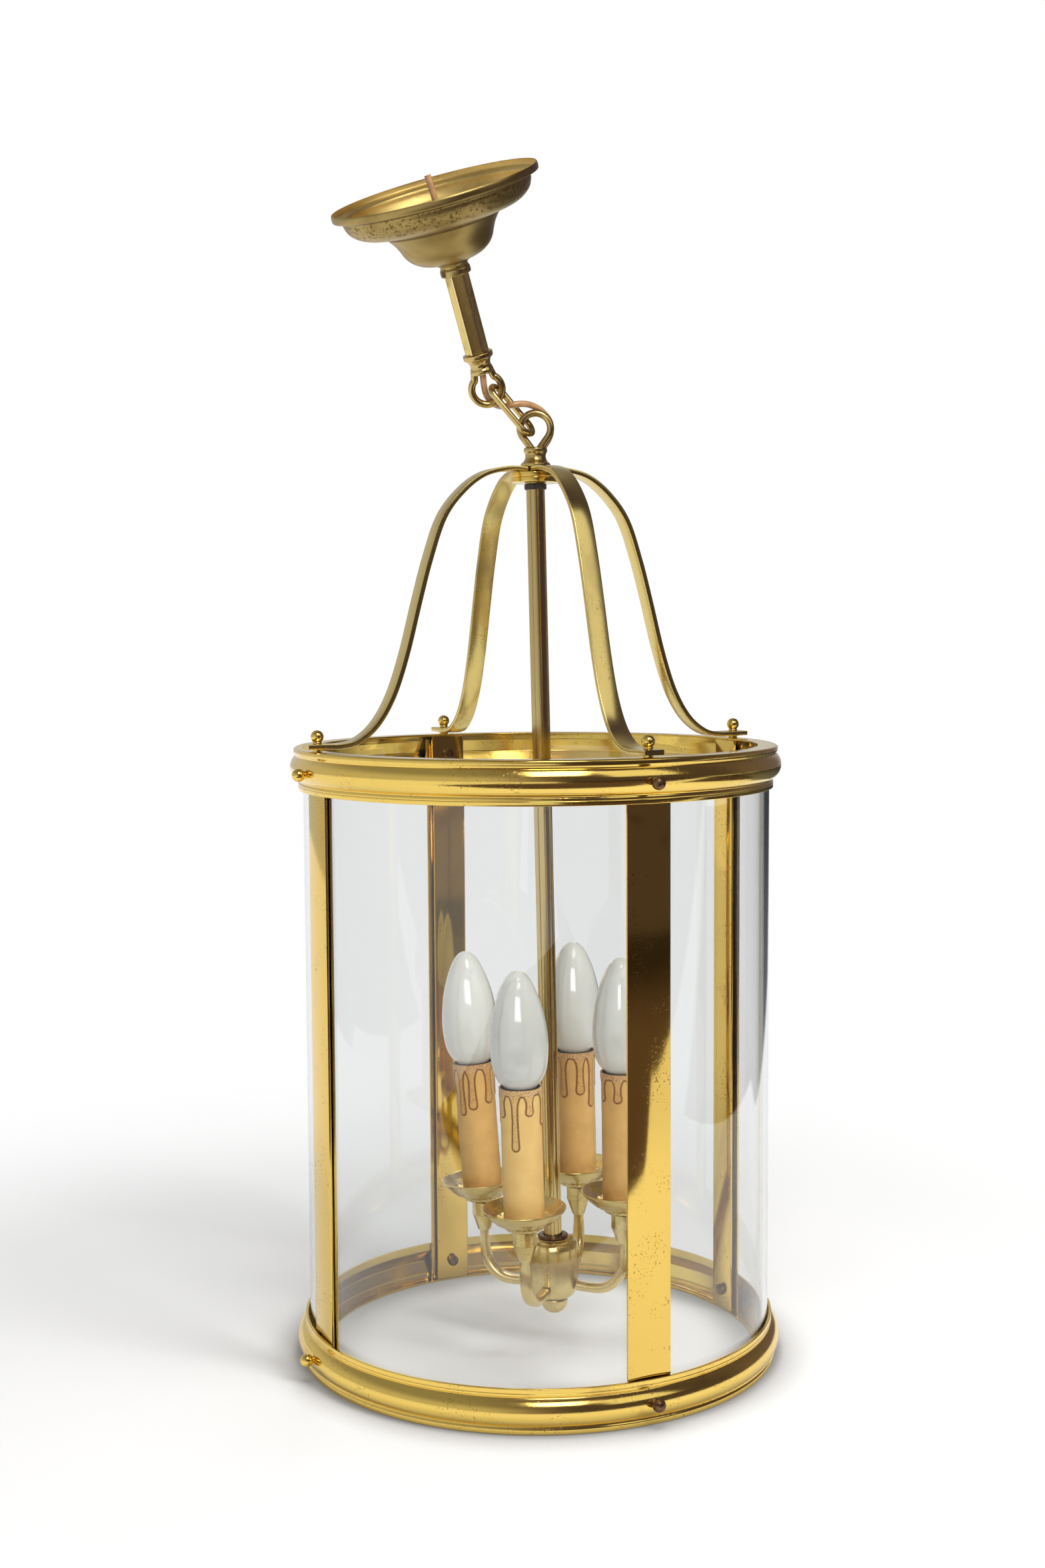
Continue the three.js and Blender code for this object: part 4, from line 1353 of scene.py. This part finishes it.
# %% Table
NEAR_GLOW = 1.2
TABLE_RADIUS, TABLE_DROP = 6, 0.2


def looked_at(tree):
    """1 for rays from the camera and rays that metal or glass sends on, and 0 for light itself."""
    camera_ray, mirrored, passed = ray_facts(
        tree, "Is Camera Ray", "Is Glossy Ray", "Is Transmission Ray"
    )
    return camera_ray.larger(mirrored).larger(passed)


def table_finish():
    finish = Finish("table_white")
    openness = finish.node("ShaderNodeAmbientOcclusion", {"samples": 8}, out="AO", Distance=0.05)
    # Painted contact shadow: the table's colour turns grey where the room is hidden from it, at the
    # ring's foot.
    painted_contact_shadow = 1 - openness.ramp(0.45, 0.9)
    finish.surface(
        Base_Color=finish.mix(painted_contact_shadow, (0.9, 0.9, 0.9), (0.30, 0.30, 0.31)), Roughness=0.9
    )
    distance = finish.node(
        "ShaderNodeVectorMath", {"operation": "DISTANCE"}, (finish.coords, FOOT * MM), out="Value"
    )
    far = distance.ramp(0.35, 0.85)
    glow = NEAR_GLOW - far * (NEAR_GLOW - 1)
    shine = finish.node("ShaderNodeEmission", Color=(1, 1, 1), Strength=glow)
    finish.blend(looked_at(finish.tree) * (far * 0.9 + 0.1), finish.shader.outputs[0], shine)
    return finish.material


table_top = bmesh.new()
bmesh.ops.create_circle(table_top, cap_ends=True, segments=96, radius=TABLE_RADIUS)
bmesh.ops.translate(table_top, verts=table_top.verts, vec=(0, 0, (FOOT.z - TABLE_DROP) * MM))
stage_piece("table", table_top, table_finish())


# %% [markdown]
# Polished brass only looks like brass when it has something dark to reflect. A dark cloth beside
# the lantern would spoil the white table, so it gets a finish that is clear to every ray until the
# ray has been reflected once. The Glossy Depth of a ray is the number of mirrors that it has met.

# %% Finishes for reflections
def after_a_mirror(tree):
    """1 for rays that have been reflected, also when a pane follows, and 0 for others."""
    return ray_facts(tree, "Glossy Depth")[0].smaller(1)


def mirrored_finish(name, **sockets):
    """A finish that is clear to every ray that hasn't been reflected."""
    finish = Finish(name)
    finish.surface(**sockets)
    clear = finish.node("ShaderNodeBsdfTransparent")
    finish.blend(after_a_mirror(finish.tree), clear, finish.shader.outputs[0])
    return finish.material


def cloth(name, colour):
    return mirrored_finish(name, Base_Color=colour, Roughness=1.0)


def glowing(name, strength):
    return mirrored_finish(
        name, Base_Color=(0, 0, 0), Emission_Color=(1.0, 0.99, 0.97), Emission_Strength=strength
    )


dark = cloth("dark_cloth", (0.066, 0.042, 0.043))
grey = cloth("grey_cloth", (0.17, 0.175, 0.165))
pale_blind = glowing("pale_blind", 1.0)
softbox_cloth = glowing("softbox_cloth", 6.0)
print("finishes in all:", len(bpy.data.materials))


# %% [markdown]
# In the real studio the white ended a little way in front of the lantern, and the room beyond it
# was dark, most of all to the right. The cloths lie there. The slanting edge of the front one gives
# the front strip its dark upper part, and the one on the right darkens the ends of the beads. The
# panes mirror most where they turn away from the eye, and the grey cloth behind gives them their
# grey edge. Two glowing sheets stand for the window and the front lamp, and give the bulbs and the
# brass their highlights.

# %% Dark cloths and the window's reflection
def sheet(name, material, corners):
    work = bmesh.new()
    work.faces.new([work.verts.new(corner) for corner in corners])
    stage_piece(name, work, material, reflected_only=True)


def on_table(*spots):
    """Corners just above the table, in millimetres from the middle of the lantern's foot."""
    return [(FOOT + Vector((x, y, 1.5))) * MM for x, y in spots]


sheet("front_cloth", dark, on_table(
    (-620, -640), (-60, -450), (400, -400), (457, -425), (849, -648), (930, -600), (5600, -420),
    (5600, -6000), (900, -6000), (420, -1900), (-420, -1500),
))
sheet("right_cloth", dark, on_table((760, -330), (4000, -330), (4000, 900), (760, 500)))
sheet("rear_cloth", grey, on_table(
    (620, 420), (4600, 900), (4600, 3600), (3000, 5000), (1300, 5600), (560, 1300),
))
sheet("window_blind", pale_blind, (
    (1.15, -1.55, 0.35), (1.95, -0.75, 0.35), (1.55, -0.35, 1.75), (0.75, -1.15, 1.75),
))
sheet("softbox_front", softbox_cloth, (
    (0.02, -1.02, 0.30), (0.44, -0.91, 0.30), (0.46, -0.56, 0.95), (-0.02, -0.68, 0.95),
))

# %% [markdown]
# The room is drawn by the world. Seen straight it is white. In reflections it is bright on the left
# and behind, and dim and slightly mauve in front and on the right. The number of mirrors that a ray
# has met tells a ray that only looks through the panes, and sees white, from one that was turned
# back inside the cage and sees the room. As a source of light the room is an even weak glow.

# %% Room
DIM_ROOM, ROOM_LIGHT = 0.09, 0.17
world = bpy.data.worlds.new("room")
bpy.context.scene.world = world
world.use_nodes = True
sky = world.node_tree
background = sky.nodes["Background"]

direction = add_node(sky, "ShaderNodeTexCoord").outputs["Generated"]
apart = add_node(sky, "ShaderNodeSeparateXYZ", ordered=(direction,))
rightward, backward, upward = (Value(sky, apart.outputs[axis]) for axis in "XYZ")
leftward = 1 - rightward.ramp(-0.5, 0.35)
behind = backward.ramp(0.0, 0.45) * (1 - rightward.ramp(0.1, 0.5) * 0.85)
bright_side = leftward.larger(behind)
reflected = bright_side * (0.52 - upward.ramp(0.2, 0.7) * 0.3) + DIM_ROOM

camera_ray, mirrored, passed = ray_facts(
    sky, "Is Camera Ray", "Is Glossy Ray", "Is Transmission Ray"
)
turned_back = passed * after_a_mirror(sky)
straight = camera_ray + passed - turned_back
only_light = 1 - looked_at(sky)
strength = straight + (mirrored + turned_back) * reflected + only_light * ROOM_LIGHT
tone = mixed(sky, bright_side.larger(straight).larger(only_light), (0.92, 0.71, 0.93), (1, 1, 1))
feed(sky, background, {"Strength": strength, "Color": tone})
print("the room's tree has", len(sky.nodes), "nodes")

# %% [markdown]
# The light comes from four soft area lamps. No metal mirrors them, because it mirrors the sheets
# and the room above instead, so that light and reflections can be set one at a time.

# %% Window and lamps
CENTRE = (FOOT + Vector((0, 0, 254))) * MM


def lamp(name, place, width, height, power, colour=(1, 1, 1)):
    """A soft lamp that faces the lantern's middle, and that no metal mirrors."""
    data = bpy.data.lights.new(name, "AREA")
    data.shape = "RECTANGLE"
    data.size, data.size_y = width, height
    data.energy = power
    data.color = colour
    thing = scene_object(name, data)
    heading = CENTRE - Vector(place)
    thing.matrix_world = moved(*place) @ heading.to_track_quat("-Z", "Y").to_matrix().to_4x4()
    thing.visible_glossy = False
    print(name, "lamp of", power, "W")


lamp("overhead", (0.2, -0.4, 1.35), 1.1, 0.8, 17)
lamp("window", (1.45, -1.1, 1.1), 0.8, 1.5, 36, (1.0, 0.99, 0.97))
lamp("fill", (0.0, -2.4, 0.4), 1.2, 0.9, 25)
lamp("rear", (0.3, 1.6, 1.3), 0.9, 0.6, 9)

# %% [markdown]
